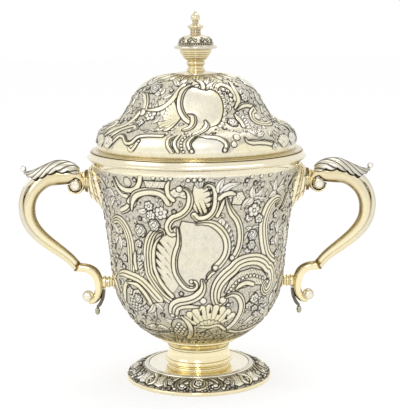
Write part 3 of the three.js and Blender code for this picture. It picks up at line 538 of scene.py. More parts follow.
    def shape(self, inner, poles=None, inner_gold=1.0):
        """The chased sheet: the chart outside, a plain outline inside, and poles where it has a floor."""
        height = np.tile(self.height, (1, self.repeats))
        sides = height.shape[1]
        turn = ((np.arange(sides) / self.cols - 0.5) * self.span) * math.pi / 180
        way = ahead(self.profile)
        inner = np.asarray(inner, float)
        outside = spun(self.profile[:, :1] + way[:, 1:] * height, self.profile[:, 1:] - way[:, :1] * height,
                       turn)
        points = np.concatenate([outside, spun(inner[:, :1], inner[:, 1:], turn)]).reshape(-1, 3)
        rows, plain_points = len(outside) + len(inner), len(inner) * sides
        if poles is not None:
            points = np.vstack([points, [(0, 0, up) for up in poles]])
            plain_points += 2
        fields = {}
        for name, plain in (("tone", 1.0), ("line", 0.0), ("dusk", 0.0), ("gold", inner_gold)):
            chart = np.tile(getattr(self, name), (1, self.repeats))
            fields[name] = np.append(chart, np.full(plain_points, plain))
        if poles is None:
            return Shape(points, grid_quads(rows, sides, True), **fields)
        return Shape(points, grid_quads(rows, sides, False), fans(rows, sides), **fields)


def chased(outline, repeats, step, chase):
    """The finished chart of an outline. chase is the function that draws on it."""
    chart = Chart(outline, repeats, step)
    chase(chart)
    chart.finish()
    return chart


# Materials

def linear(r, g, b):
    """A colour written as it shows on a screen, 0 to 255, as light."""
    return tuple(((c / 255 + 0.055) / 1.055) ** 2.4 if c > 10 else c / 255 / 12.92 for c in (r, g, b)) + (1,)


class Nodes:
    """A short way to write a node tree."""

    def __init__(self, tree):
        self.tree = tree
        tree.nodes.clear()

    def add(self, kind, inputs=None, **settings):
        """A node. Each of its inputs, by name or number, is linked to a socket or set to a value."""
        node = self.tree.nodes.new("ShaderNode" + kind)
        for name, value in settings.items():
            setattr(node, name, value)
        for name, value in (inputs or {}).items():
            if isinstance(value, bpy.types.NodeSocket):
                self.tree.links.new(value, node.inputs[name])
            else:
                node.inputs[name].default_value = value
        return node

    def mix(self, share, a, b, blend="MIX"):
        return self.add("Mix", {0: share, 6: a, 7: b}, data_type="RGBA", blend_type=blend).outputs[2]

    def sum(self, operation, a, b, clamp=False):
        return self.add("Math", {0: a, 1: b}, operation=operation, use_clamp=clamp).outputs[0]

    def ramp(self, value, low, high, to_low, to_high):
        inputs = {"Value": value, "From Min": low, "From Max": high, "To Min": to_low, "To Max": to_high}
        return self.add("MapRange", inputs).outputs["Result"]

    def noise(self, where, scale, detail, rough):
        inputs = {"Vector": where, "Scale": scale, "Detail": detail, "Roughness": rough}
        return self.add("TexNoise", inputs).outputs["Fac"]

    def shown(self):
        """1 for what the camera sees, straight or in the metal, and 0 for light on the cup."""
        path = self.add("LightPath").outputs
        seen = self.sum("MAXIMUM", path["Is Camera Ray"], path["Is Glossy Ray"])
        return self.sum("MAXIMUM", seen, path["Is Transmission Ray"])


def metal(name, silver, gilt, ground, deep, shine, matt, grain, patch=0.25):
    """Silver with gilding: pale on top, dull on the matted ground, dark in the engraved lines and the painted
    crease shade, and browned where painted shade is laid.

    shine and matt are the roughness on top and on the ground, grain the tarnish and patch the wear.
    """
    material = bpy.data.materials.new(name)
    material.use_nodes = True
    n = Nodes(material.node_tree)
    where = n.add("TexCoord").outputs["Object"]
    tone, line, dusk, gold = (n.add("Attribute", attribute_name=field).outputs["Fac"] for field in FIELDS)
    # Worn gilding, in soft patches
    worn = n.sum("ADD", gold, n.ramp(n.noise(where, 26.0, 3.0, 0.55), 0.3, 0.7, -patch, patch), clamp=True)
    top = n.mix(worn, linear(*silver), linear(*gilt))
    # Punched matting on the ground
    punch = n.add("TexVoronoi", {"Vector": where, "Scale": 620.0}, feature="F1").outputs["Distance"]
    mat = n.ramp(punch, 0.1, 0.55, 1.12, 0.7)
    mat = n.add("CombineColor", {"Red": mat, "Green": mat, "Blue": mat}).outputs[0]
    below = n.mix(1.0, linear(*ground), mat, "MULTIPLY")
    below = n.mix(n.sum("MULTIPLY", worn, 0.6), below, linear(*(a * b / 250 for a, b in zip(ground, gilt))))
    colour = n.mix(tone, below, top)
    fine = n.noise(where, 240.0, 4.0, 0.6)
    # Tarnish, painted shade and dark lines (engraving and painted crease shade), one over the other
    for share in (n.ramp(fine, 0.45, 0.8, 0.0, grain), n.sum("MULTIPLY", dusk, 0.85),
                  n.ramp(line, 0.2, 0.75, 0.0, 0.95)):
        colour = n.mix(share, colour, linear(*deep))
    rough = n.ramp(n.sum("SUBTRACT", tone, line), -0.2, 1.0, matt, shine)
    rough = n.sum("ADD", rough, n.ramp(fine, 0.3, 0.8, -0.03, 0.05), clamp=True)
    bump_source = n.sum("MULTIPLY", punch, n.ramp(tone, 0.2, 0.8, 1.0, 0.0))
    bump_source = n.sum("ADD", bump_source, n.sum("MULTIPLY", fine, 0.25))
    bump = n.add("Bump", {"Strength": 0.25, "Distance": 0.0003, "Height": bump_source}).outputs["Normal"]
    shader = n.add("BsdfPrincipled", {"Base Color": colour, "Metallic": 1.0, "Roughness": rough,
                                      "Normal": bump})
    n.add("OutputMaterial", {"Surface": shader.outputs[0]})
    return material


# deep is the colour that the dark lines and the painted shade mix towards; POLISHED's amber deep is the brown
# of its painted shade
CHASED = metal("chased_silver_gilt", silver=(242, 238, 228), gilt=(246, 237, 202), ground=(232, 226, 210),
               deep=(38, 33, 22), shine=0.27, matt=0.5, grain=0.15)
POLISHED = metal("polished_gilt", silver=(240, 238, 230), gilt=(247, 234, 192), ground=(190, 176, 126),
                 deep=(128, 102, 46), shine=0.14, matt=0.35, grain=0.08, patch=0.12)
CAST = metal("cast_silver", silver=(250, 247, 238), gilt=(248, 240, 210), ground=(196, 188, 168),
             deep=(52, 44, 28), shine=0.25, matt=0.45, grain=0.2)
PLAIN = metal("plain_silver", silver=(214, 211, 202), gilt=(222, 214, 184), ground=(150, 146, 134),
              deep=(84, 80, 68), shine=0.25, matt=0.4, grain=0.2)


def dress(thing, body, slot, material, *nodes):
    """Gives a piece its metal, and lets it stand for its CAD nodes and move with their body."""
    thing.data.materials.append(material)
    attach(thing, body)
    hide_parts(*nodes)


def turned(name, node, *outline, body="cup", slot="gilt", rings=(), strength=0.0, above=0, **settings):
    """A turned and polished piece, with painted shade as dark rings at some radii above a height, in its
    grooves and gaps.
    """
    shape = lathe(outline_of(*outline), **settings)
    radius, up = np.hypot(shape.points[:, 0], shape.points[:, 1]), shape.points[:, 2]
    for at in rings:
        shape.darken("line", np.exp(-((radius - at) / 0.3) ** 2) * strength * (up > above))
    dress(make(name, shape), body, slot, POLISHED, node)


# Levels where the pieces sit on each other, and the radii of the bores
RIM_TOP, BORDER_TOP, COLLAR_TOP, KNOP_TOP, NECK_TOP, BOWL_FOOT = 3.6, 12, 15.2, 19.8, 29.8, 39
BOWL_FLOOR, BOWL_TOP, LIP_TOP, FLANGE_FOOT, FLANGE_TOP, CROWN = 40.5, 198, 208.6, 208.9, 211, 275.5
BASE_TOP, VASE_TOP, PLATE_TOP, DOME_TOP, SPOOL_TOP, BUTTON_TOP = 278.5, 297.3, 301.5, 309.6, 314.8, 319.8
STEM_BORE, FLANGE_BORE, BORE = 25.5, 85.2, 2.5

# Foot

turned("foot_rim_wire", "foot_wire", (61, 0), (65, 0), bulge((65.3, 0.3), (65.3, 3.3), 0.7), (65, RIM_TOP),
       (61, RIM_TOP), gold=0.9)

border_slope = bend((65.1, RIM_TOP), (49.5, BORDER_TOP), (0.26, 0.46), (0.66, 0.86), 40)


def chase_border(c):
    """Cast and chased ornament round the foot: a flower in an oval between brackets and leaf fans."""
    for side in (1, -1):
        c.shell((side * 34, 2.0), 13, 90 - side * 12, 130, 9)
    for side in (1, -1):
        c.rib([(side * 45, 2), (side * 41, 6), (side * 42, 12), (side * 47, 15.5)], 2.6)
    for side in (-1, 1):
        c.band([(side * 9, 15.5), (side * 13, 14.8), (side * 16.5, 11), (side * 17, 6.5), (side * 14, 3.6),
                (side * 11.5, 5.4)], 2.4, lines=(0.1,), ball=1.4)
        c.rib([(side * 19, 15.6), (side * 22.5, 12), (side * 23, 7), (side * 20.5, 3.4)], 1.8)
        c.leaf((side * 8, 3), (side * 4, 9), 2.6, 0.1 * side)
        c.leaf((side * 27, 3), (side * 30, 15), 3.4, -0.15 * side)
        c.boss((side * 20, 2.6), 1.5)
        c.boss((side * 14, 6.6), 2.2)
        c.leaf((side * 13, 9), (side * 6, 15.6), 3, 0.1 * side)
        c.flower((side * 25, 8.5), 3, 5)
    c.panel([(-7, 5), (0, 1.5), (7, 5), (8.5, 10), (5, 15), (-5, 15), (-8.5, 10)], tone=1, gold=0.6, dark=1)
    c.rib([(0, 4.6), (3.8, 6.4), (4.8, 9.8), (3.4, 13.2), (0, 14.8), (-3.4, 13.2), (-4.8, 9.8), (-3.8, 6.4),
           (0, 4.6)], 1.4)
    c.flower((0, 9.8), 3.6, 6)
    c.sprigs(1.6, 16, 11, 1.5)
    c.height *= 1.3


border = chased(border_slope, 4, 0.6, chase_border)
border_inside = sideways(border_slope, WALL)[::-5]
border_inside[-1, 1] = RIM_TOP
border_shape = border.shape(outline_of((43.8, BORDER_TOP), (43.8, 10.5), border_inside), inner_gold=0.3)
dress(make("foot_chased_border", border_shape), "cup", "chased_silver", CAST, "foot_border")

# The dark rings between the reeds are painted shade in the grooves
turned("foot_reeded_wire", "foot_inner_wire", (45.7, BORDER_TOP), (49.5, BORDER_TOP),
       bulge((49.5, 12.05), (48.3, 13.1), 0.35), bulge((48.2, 13.1), (47.0, 13.5), 0.3),
       bulge((46.9, 13.5), (45.8, 13.3), 0.3), (45.7, 13.1), slot="chased_silver", gold=0.2,
       rings=(48.25, 46.95, 45.8), strength=0.6)
turned("foot_plain_dish", "foot_dish", (43.5, BORDER_TOP), (45.4, BORDER_TOP), (45.4, 12.9),
       bend((45.2, 13.1), (30.2, 12), (0.3, 2.4), (0.75, 1.1), 14), (STEM_BORE, BORDER_TOP),
       (STEM_BORE, 10.5), bend((30, 10.4), (43.5, 11.2), (0.3, -0.6), (0.7, 0.6), 8), gold=0.4)

# Stem

turned("stem_spreading_collar", "stem_collar", (STEM_BORE, BORDER_TOP), (28.2, BORDER_TOP),
       bulge((28.2, 12.1), (27.5, 13), 0.2), bend((27.3, 13.1), (28.2, 15), (-0.2, 0.4), (0.3, 0.9), 6),
       (28.2, COLLAR_TOP), (STEM_BORE, COLLAR_TOP))
turned("stem_round_knop", "stem_knop", (STEM_BORE, COLLAR_TOP), (28.9, COLLAR_TOP),
       bulge((29.1, 15.4), (29.5, 19.6), 1.6, 14), (29.5, KNOP_TOP), (STEM_BORE, KNOP_TOP))
turned("stem_waisted_neck", "stem_neck", (STEM_BORE, KNOP_TOP), (29.3, KNOP_TOP),
       bend((29.3, 19.9), (27.6, 28.8), (0.5, 0.2), (1.15, 0.55), 14), (28.2, 29.2), (28.2, NECK_TOP),
       (STEM_BORE, NECK_TOP))
turned("bowl_stepped_calyx", "bowl_calyx", (STEM_BORE, NECK_TOP), (28.3, NECK_TOP),
       bend((28.3, 29.9), (34.6, 36.4), (0.05, 0.55), (0.6, 0.9), 12), (34.8, 36.7),
       bulge((35.9, 37), (35.9, 38.9), 0.6), (35.6, BOWL_FOOT), (33, BOWL_FOOT))

# Bowl

belly = bend((36.4, BOWL_FOOT), (76.3, 90), (0.54, 0.18), (0.89, 0.57), 60)
flare = bend((76.3, 90), (93.5, BOWL_TOP), (0.215, 0.324), (0.39, 0.694), 80)
bowl_wall = outline_of(belly, flare[1:])


def chase_bowl(c):
    """Scrolls, shells, flowers and fruit round a plain cartouche, the same on both sides of the bowl."""
    # Side fillers, between the front and the back
    c.band([(64, 160), (70, 166), (78, 164), (82, 156), (78, 148), (72, 150)], 5, ball=3)
    c.band([(118, 160), (112, 166), (104, 164), (98, 156), (102, 148), (108, 150)], 5, ball=3)
    c.spray((90, 132), [(80, 150), (86, 156), (94, 156), (100, 150)], 6)
    c.rose((90, 130), 7)
    c.band([(66, 62), (72, 72), (80, 76), (88, 72), (90, 62), (84, 56)], 5.5, ball=3.2)
    c.band([(114, 62), (108, 72), (101, 76), (94, 72)], 5.5, ball=3.2)
    c.shell((90, 36), 24, 90, 110, 9)
    c.fronds([(66, 120), (70, 100), (67, 82)], 8, 6)
    c.fronds([(112, 82), (109, 100), (113, 120)], 8, 6)
    c.flower((80, 92), 6)
    c.flower((100, 92), 6)

    # Left: a wide oval of scrolls with fronds in it
    c.band([(-20, 123.6), (-20.7, 126.3), (-24.3, 126.9), (-27.9, 122.5), (-30.7, 114.7), (-32.1, 105.8),
            (-32.3, 96.9), (-31.8, 88), (-29.3, 81.8), (-25.7, 75.1), (-21.4, 69), (-17.1, 65.1)], 6.4,
           lines=(-0.2, 0.45))
    c.panel([(-27.5, 92), (-27.5, 103), (-25, 117), (-20, 122), (-16, 124), (-11.5, 127), (-11.5, 115),
             (-14, 100), (-14.5, 90), (-12, 81), (-16, 72), (-21, 75)], tone=0.65, dark=0.5, gold=0.6)
    c.wedges([(-26.6, 91), (-27, 97.5), (-26.6, 104), (-25.8, 110.5), (-23.6, 116.5), (-25.2, 85.5),
              (-23.4, 80)], -42, 9, 3)
    c.wedges([(-20, 96), (-20, 103), (-19.4, 110), (-18, 116.5), (-19.4, 89)], -52, 9, 1.4, 0.6)
    c.rib([(-22.1, 121.3), (-25, 116.9), (-27.1, 110.2), (-27.9, 101.3), (-27.5, 92.5), (-24.3, 81.8),
           (-20, 74), (-16.4, 69)], 2.6)
    c.band([(-60, 130.2), (-55, 132.5), (-50.7, 130.2), (-47.1, 123.6), (-45.4, 114.7), (-45.4, 104.7),
            (-46.1, 94.7), (-47.1, 84.7)], 7.2, ends=(0.6, 0.8), lines=(-0.25, 0.4))
    for flower in ((-53, 123), (-51, 112), (-52, 98), (-58, 92)):
        c.flower(flower, 3.6, 5)
    c.fronds([(-38.6, 82), (-40.5, 92), (-40, 104)], -7, 6, 0.5)
    c.rib([(-41.4, 106), (-42.5, 98), (-42, 90.2)], 2.6)
    c.band([(-50.7, 170.2), (-49.3, 162.5), (-45.7, 156.9), (-41.4, 155.8), (-40.7, 150.2), (-43.6, 144.7),
            (-48.6, 141.3)], 4.6)
    c.panel([(-44, 150), (-40, 156), (-35, 160), (-29, 164), (-15, 163), (-14, 158), (-18, 155), (-28, 158),
             (-35, 153), (-38, 146)], height=0.8, tone=1, dark=1, gold=0.6)
    c.rib([(-48.6, 171), (-46.4, 163.6), (-41.4, 160.8), (-35.7, 162.5), (-32.1, 168), (-30.7, 174)], 3.4)
    c.boss((-40, 168.6), 4.2, tone=0.3)
    c.band([(-40.4, 143.6), (-38.9, 151.3), (-35.7, 157.5), (-28.6, 161.3), (-21.4, 161.3), (-17.9, 158),
            (-15.7, 152.5)], 5.2, lines=(0.45,))
    c.scales([(-28, 165), (-15.5, 165), (-15.5, 171), (-29, 171)])
    c.spray((-56, 118), [(-63, 128), (-64, 118), (-62, 108), (-56, 104)], 5)
    c.spray((-54, 152), [(-60, 160), (-63, 150), (-60, 142)], 5)

    # Lower left: a rolled band over fruit in ovals
    c.band([(-62.9, 80.7), (-55.7, 83.5), (-46.4, 82.9), (-39.3, 80.7), (-34.3, 76.2), (-30, 70.7),
            (-25.7, 65.1)], 5.8, lines=(0.05,))
    c.scales([(-54, 52), (-40, 50), (-36, 62), (-42, 72), (-52, 68)], 3.4)
    c.rose((-43, 63), 5)
    c.grapes((-49, 57), 5, 7, 1.8)
    for flower in ((-37, 55), (-41, 52), (-50, 69)):
        c.flower(flower, 3.8, 5)
    c.rib([(-59.3, 56.2), (-57.1, 65.1), (-54.3, 74), (-48.6, 77.3)], 3.2)
    c.rib([(-52, 76), (-43, 75.5), (-36, 68.5), (-32.5, 59), (-33, 49)], 3)
    c.spray((-30, 60), [(-22, 62), (-24, 54), (-31, 46), (-38, 50)], 5.2)
    c.leaf((-16, 40), (-25, 47), 5.5, 0.1)
    c.leaf((-16, 40), (-17, 52), 5, -0.1)
    c.leaf((-33, 36), (-24, 30), 5, 0.1)
    c.leaf((-35, 36), (-45, 33), 5, 0.1)
    c.panel([(-20, 26), (-14.4, 22), (-9, 26), (-8.6, 36), (-11, 45), (-17, 46), (-20.6, 38)], tone=0.15,
            dark=1)
    c.grapes((-14.4, 34), 4.4, 9.5, 1.8)

    # Right: a festoon of flowers between two scrolls
    c.band([(52.9, 144.7), (54.7, 149.1), (50.4, 150.2), (46.1, 145.8), (43.6, 138), (42.6, 129.1),
            (43.6, 119.1), (45.4, 110.2), (48.3, 101.3), (52.6, 95.8), (56.9, 92.5)], 8, lines=(-0.25, 0.4))
    for flower in ((53, 136), (51, 126), (53, 112), (59, 99), (62, 140)):
        c.flower(flower, 3.6, 5)
    c.band([(56.9, 140.2), (60.4, 142.5), (64, 154.7)], 3.6)
    c.spray((58, 118), [(52, 128), (58, 132), (64, 126), (65, 114), (58, 106)], 5)
    c.spray((50, 156), [(43, 167), (48, 171), (55, 169), (59, 160), (44, 152)], 5.4)
    c.spray((33, 154), [(25.4, 144.7), (27.6, 149), (39, 163), (31.9, 166), (42, 153)], 5.6)
    c.spray((34, 124), [(29.5, 128), (39, 128), (29, 117)], 4.6)
    c.spray((34.5, 109), [(36.1, 101), (40.4, 106), (31.5, 102.5), (29, 108)], 4.4)
    c.flower((35.4, 148.5), 4.2)
    c.flower((31.2, 137), 4)
    c.flower((38.2, 135), 4.2, 5)
    c.flower((34, 143), 6.2, 5)
    c.rose((34.7, 121), 5.2)
    c.rose((34.4, 112), 4.4)

    # Upper middle: a fanned shell between two tall scrolls, with leaves beside it
    c.panel([(-1.5, 168), (-2.6, 158), (-2.4, 149), (0.5, 143), (4.6, 143), (7, 148), (7.6, 155), (6.8, 162),
             (4.6, 168), (1.6, 171)], height=0.9, tone=0.75, dark=0.9, gold=0.75)
    c.wedges([(8.2, 148.5), (8.6, 153.5), (8.2, 158.5), (7.4, 163.5)], 196, 7, 2.6)
    c.wedges([(3.6, 142.6), (6.2, 144.6), (1.4, 142.6)], 110, 14, 2)
    c.spray((2, 166), [(-3.2, 172.6), (-0.8, 174.4), (1.8, 174.8), (4.2, 174)], 3.4)
    c.shell((-10.5, 158), 7.5, 100, 230, 8)
    c.rib([(-14.4, 171.9), (-15.9, 165.8), (-15.5, 159.1), (-13, 154.7)], 3)
    c.band([(-8.7, 166.3), (-5.1, 163.6), (-3.7, 158), (-4.1, 151.3), (-5.9, 145.8), (-9.4, 141.3),
            (-13.7, 138.6), (-16.2, 134.7), (-17.3, 130.2), (-16.2, 125.8), (-14.1, 125.2), (-12.6, 128)],
           4.4, lines=(0.3,), ball=2)
    c.boss((-9.4, 164.7), 2.6)
    c.band([(3.8, 166.3), (5.6, 169.1), (8.4, 167.5), (10.2, 162.5), (10.6, 154.7), (9.9, 146.9),
            (7.7, 141.3), (4.1, 138), (0.6, 138), (-1.6, 141.3)], 4.2, lines=(0.3,))
    c.spray((12, 160), [(9.4, 173), (14.6, 174.4), (19.6, 172.4), (24, 168.6), (25, 162)], 5.8)
    c.scales([(19.5, 150), (25, 149), (27.5, 155), (25, 161), (20.5, 160)])
    c.rib([(21.3, 158.6), (18.4, 160.2), (14.9, 159.1), (12.4, 155.8)], 3.2)
    c.rib([(14.9, 154.7), (13.4, 146.9), (11.3, 140.2)], 2.4)
    c.fronds([(22.2, 106), (22.4, 113), (21.2, 122), (19, 130), (15.8, 136), (12.6, 139)], 7, 8, -0.3)
    c.band([(16.3, 155.8), (17.7, 149.1), (19.9, 142.5), (23.4, 135.8), (25.6, 128), (26.3, 119.1),
            (25.6, 111.3), (23.4, 104.7), (21.3, 102.5)], 4.4, lines=(0.2,), ball=2)
    for loop in ((-4.4, 172.5), (-1.2, 173), (1.8, 173.2), (-13.7, 174.2), (-18, 174), (-23, 174.2),
                 (30, 173.8), (36, 173.4), (42, 173.8), (-55, 173.8), (52, 173.6)):
        c.boss(loop, 1.8)

    # Left flowers
    c.leaf((-30, 144), (-36.5, 143.6), 4.6, 0.1)
    c.leaf((-30, 134), (-33.6, 138), 4, 0.1)
    c.leaf((-36, 122), (-39.8, 131), 4.4, -0.1)
    c.leaf((-37, 110), (-40.3, 104), 4, 0.1)
    c.leaf((-37, 104), (-35.5, 97), 4, 0.1)
    c.flower((-27.9, 148.4), 4.4)
    c.flower((-20.7, 142.8), 6)
    c.flower((-27.2, 140.2), 4.4)
    c.rose((-25.7, 131.6), 5.4)
    c.rose((-35.7, 125.4), 6)
    c.flower((-37.9, 113.8), 3.6, 5)

    # Lower right: an arch of rolled bands over scales, with flowers inside
    c.scales([(17, 72), (20.5, 82), (27, 89), (36, 91), (45, 87), (50.5, 80), (46, 74), (37, 76), (28, 74),
              (22, 68)], 2.6, tone=0.6)
    c.pearls([(20, 72), (26, 81), (36, 84.5), (46, 80)], 1.5)
    c.spray((39, 62), [(35, 69), (45, 69), (48, 62), (45, 55), (36, 54)], 5.4)
    c.flower((40, 63), 4.8)
    for flower in ((47, 59), (42, 53), (49, 52), (36, 57), (45, 46)):
        c.flower(flower, 3.4, 5)
    c.leaf((50, 48), (58, 42), 5, 0.1)
    c.leaf((44, 44), (36, 36), 5, 0.1)
    c.spray((60, 64), [(66, 72), (64, 58), (60, 52)], 4.6)
    c.rib([(24.7, 74), (28.3, 77.3), (32.6, 78.5), (37.6, 76.2)], 3)
    c.band([(17.7, 64.6), (14.1, 61.2), (11.6, 65.1), (11.3, 72.9), (13.4, 80.7), (17.7, 87.3), (22, 91.8),
            (26.1, 96.9), (32.6, 99.1), (40.4, 98), (46.9, 93.6), (50.4, 89.1), (53.3, 87.3), (56.1, 80.7),
            (56.1, 72.9), (54, 68.5), (50.4, 66.8), (47.6, 69.6), (48.3, 74), (51.1, 75.7)], 8,
           ends=(0.6, 0.5), lines=(-0.3, 0.4), ball=1.8)
    c.boss((16.3, 65.1), 3)
    c.band([(18.3, 67.9), (22.6, 69.6), (26.9, 67.3), (30.1, 60.7), (31.1, 52.9), (30.1, 45.1), (27.6, 37.3),
            (24, 31.8)], 5, lines=(0.3,))

    # Bottom: a ribbed shell on its base line
    c.shell((8, 33), 29, 92, 120, 9, height=1.4, gold=0.9)
    c.shell((8, 33), 13, 92, 120, 7, tone=0.8, gold=0.9)
    c.wedges([(-4, 46), (2, 52), (8, 54), (14, 52), (20, 46)], 90, 7, 2.4)
    c.boss((3.4, 65.1), 2.8)
    c.rib([(-3, 38.5), (2, 37.4), (8, 36.6), (14.9, 38.5), (21.3, 31.8)], 2.8)

    # The cartouche in the middle is left plain
    c.panel([(-8.8, 136), (-1, 134.5), (7, 134.5), (13, 129.5), (16.6, 121), (17.4, 111), (15, 101),
             (10, 94.5), (8, 89), (4.4, 80), (0, 78), (-6, 79.5), (-10.6, 83), (-13.2, 90), (-13.4, 98),
             (-12.2, 108), (-10.8, 118), (-10.6, 128)], height=0.5, tone=0.55, dark=1)
    c.band([(-11.2, 129.1), (-10.9, 121.3), (-11.4, 114.7), (-12.6, 110.2), (-13.9, 103.6), (-14.3, 96.9),
            (-13.7, 90.2), (-11.9, 85.1), (-9.8, 80.7), (-7.3, 77.3), (-4.4, 76), (-1.9, 76.8), (-0.9, 79.6),
            (-1.9, 82.3), (-4.1, 82.7)], 3.8, ends=(0.5, 0.6), ball=1.6)
    c.band([(5.6, 84.7), (7.7, 89.1), (9.9, 91.3)], 3)
    c.band([(-0.1, 134.1), (3.4, 134.7), (7.7, 134.1), (11.3, 131.3), (14.9, 125.8), (17.4, 119.1),
            (18.1, 111.3), (17, 104.7), (14.1, 98.6), (10.9, 94.7)], 4.8, lines=(0.15,), ball=2.2)

    # Two long scrolls cross below it
    c.rib([(0.6, 59.6), (-4.4, 59.6), (-10.1, 59), (-13.4, 56.8), (-14.8, 51.8)], 2.6)
    c.rib([(-11.6, 49.6), (-8.7, 45.1), (-6.6, 39.6), (-5.9, 32.9), (-6.6, 26.2), (-8.7, 21.8)], 3.4)
    c.band([(2.7, 83.5), (3.4, 78.5), (2, 72.9), (-1.6, 68.5), (-6.6, 65.7), (-12.3, 64), (-16.2, 60.7),
            (-18, 55.1), (-18, 50.1)], 5.6, ends=(0.4, 0.6), lines=(0.15,), ball=2)

    # Long arcs and ruffled leaves towards the bottom
    c.band([(-64, 30), (-52, 25), (-38, 24), (-26, 27)], 3.4)
    c.band([(64, 30), (52, 25), (38, 24), (27, 28)], 3.4)
    for turn in range(-86, 90, 8):
        c.leaf((turn, 5), (turn + 6, 17), 5, 0.2, height=0.7, teeth=3)
    for turn in (-26, 26, -58, 58):
        c.leaf((turn, 12), (turn * 1.5, 24), 5, 0.1, height=0.7)
    c.sprigs(14, 34, 21, 2.2, 0.8, sides=(0, 90))
    c.sprigs(26, 172, 3, 2.8, 0.65, sides=(38, 90))
    c.sprigs(26, 172, 7, 2.3, 0.35, sides=(0, 38))

    # Gilding at the bottom and at the plain throat, and painted shade towards the bottom
    up = c.arc[:, None] + 0 * c.height
    low = smooth(58, 16, up)
    plain = np.maximum(smooth(6, 4, up), smooth(174.6, 175.4, up))
    c.bare(plain)
    c.gold = np.maximum(np.maximum(c.gold * (1 - plain) + 0.75 * plain, 0.95 * low), 0.12)
    c.dusk = 0.15 * smooth(36, 12, up)


bowl_chart = chased(bowl_wall, 2, 0.8, chase_bowl)
bowl_inside = sideways(bowl_wall, WALL)[::-8]
bowl_inside[0, 1] = BOWL_TOP
bowl_inside[-1, 1] = BOWL_FLOOR
bowl_shape = bowl_chart.shape(outline_of(bowl_inside, (18, BOWL_FLOOR)), poles=(BOWL_FOOT, BOWL_FLOOR))
dress(make("bowl_chased_body", bowl_shape, sharp=None), "cup", "chased_gilt", CHASED, "bowl")

throat_bore = float(bowl_inside[0, 0])
# The lip carries light painted shade, and painted shade rings at its top where the cover's flange sits on it
turned("bowl_moulded_lip", "bowl_lip", (throat_bore, BOWL_TOP),
       bend((93.5, BOWL_TOP), (97.3, 202.6), (0.1, 0.4), (0.6, 0.85), 10),
       bulge((97.4, 202.8), (97.3, 204.4), 0.4),
       bend((97, 204.7), (94.9, 208.2), (0.35, 0.1), (0.95, 0.5), 8), (94.6, LIP_TOP), (throat_bore, LIP_TOP),
       gold=0.6, dusk=0.1, rings=(94.6, 94.2), strength=0.9, above=207.5)

# Cover

cover_low = bend((88.2, FLANGE_TOP), (77, 232.5), (-0.16, 0.465), (0.06, 0.86), 30)
cover_cove = bend((77, 232.5), (60.3, 248), (0.42, 0.13), (0.78, 0.484), 24)
cover_top = bend((60.3, 248), (19, CROWN), (0.104, 0.29), (0.25, 1), 50)
cover_wall = outline_of(cover_low, cover_cove[1:], cover_top[1:])


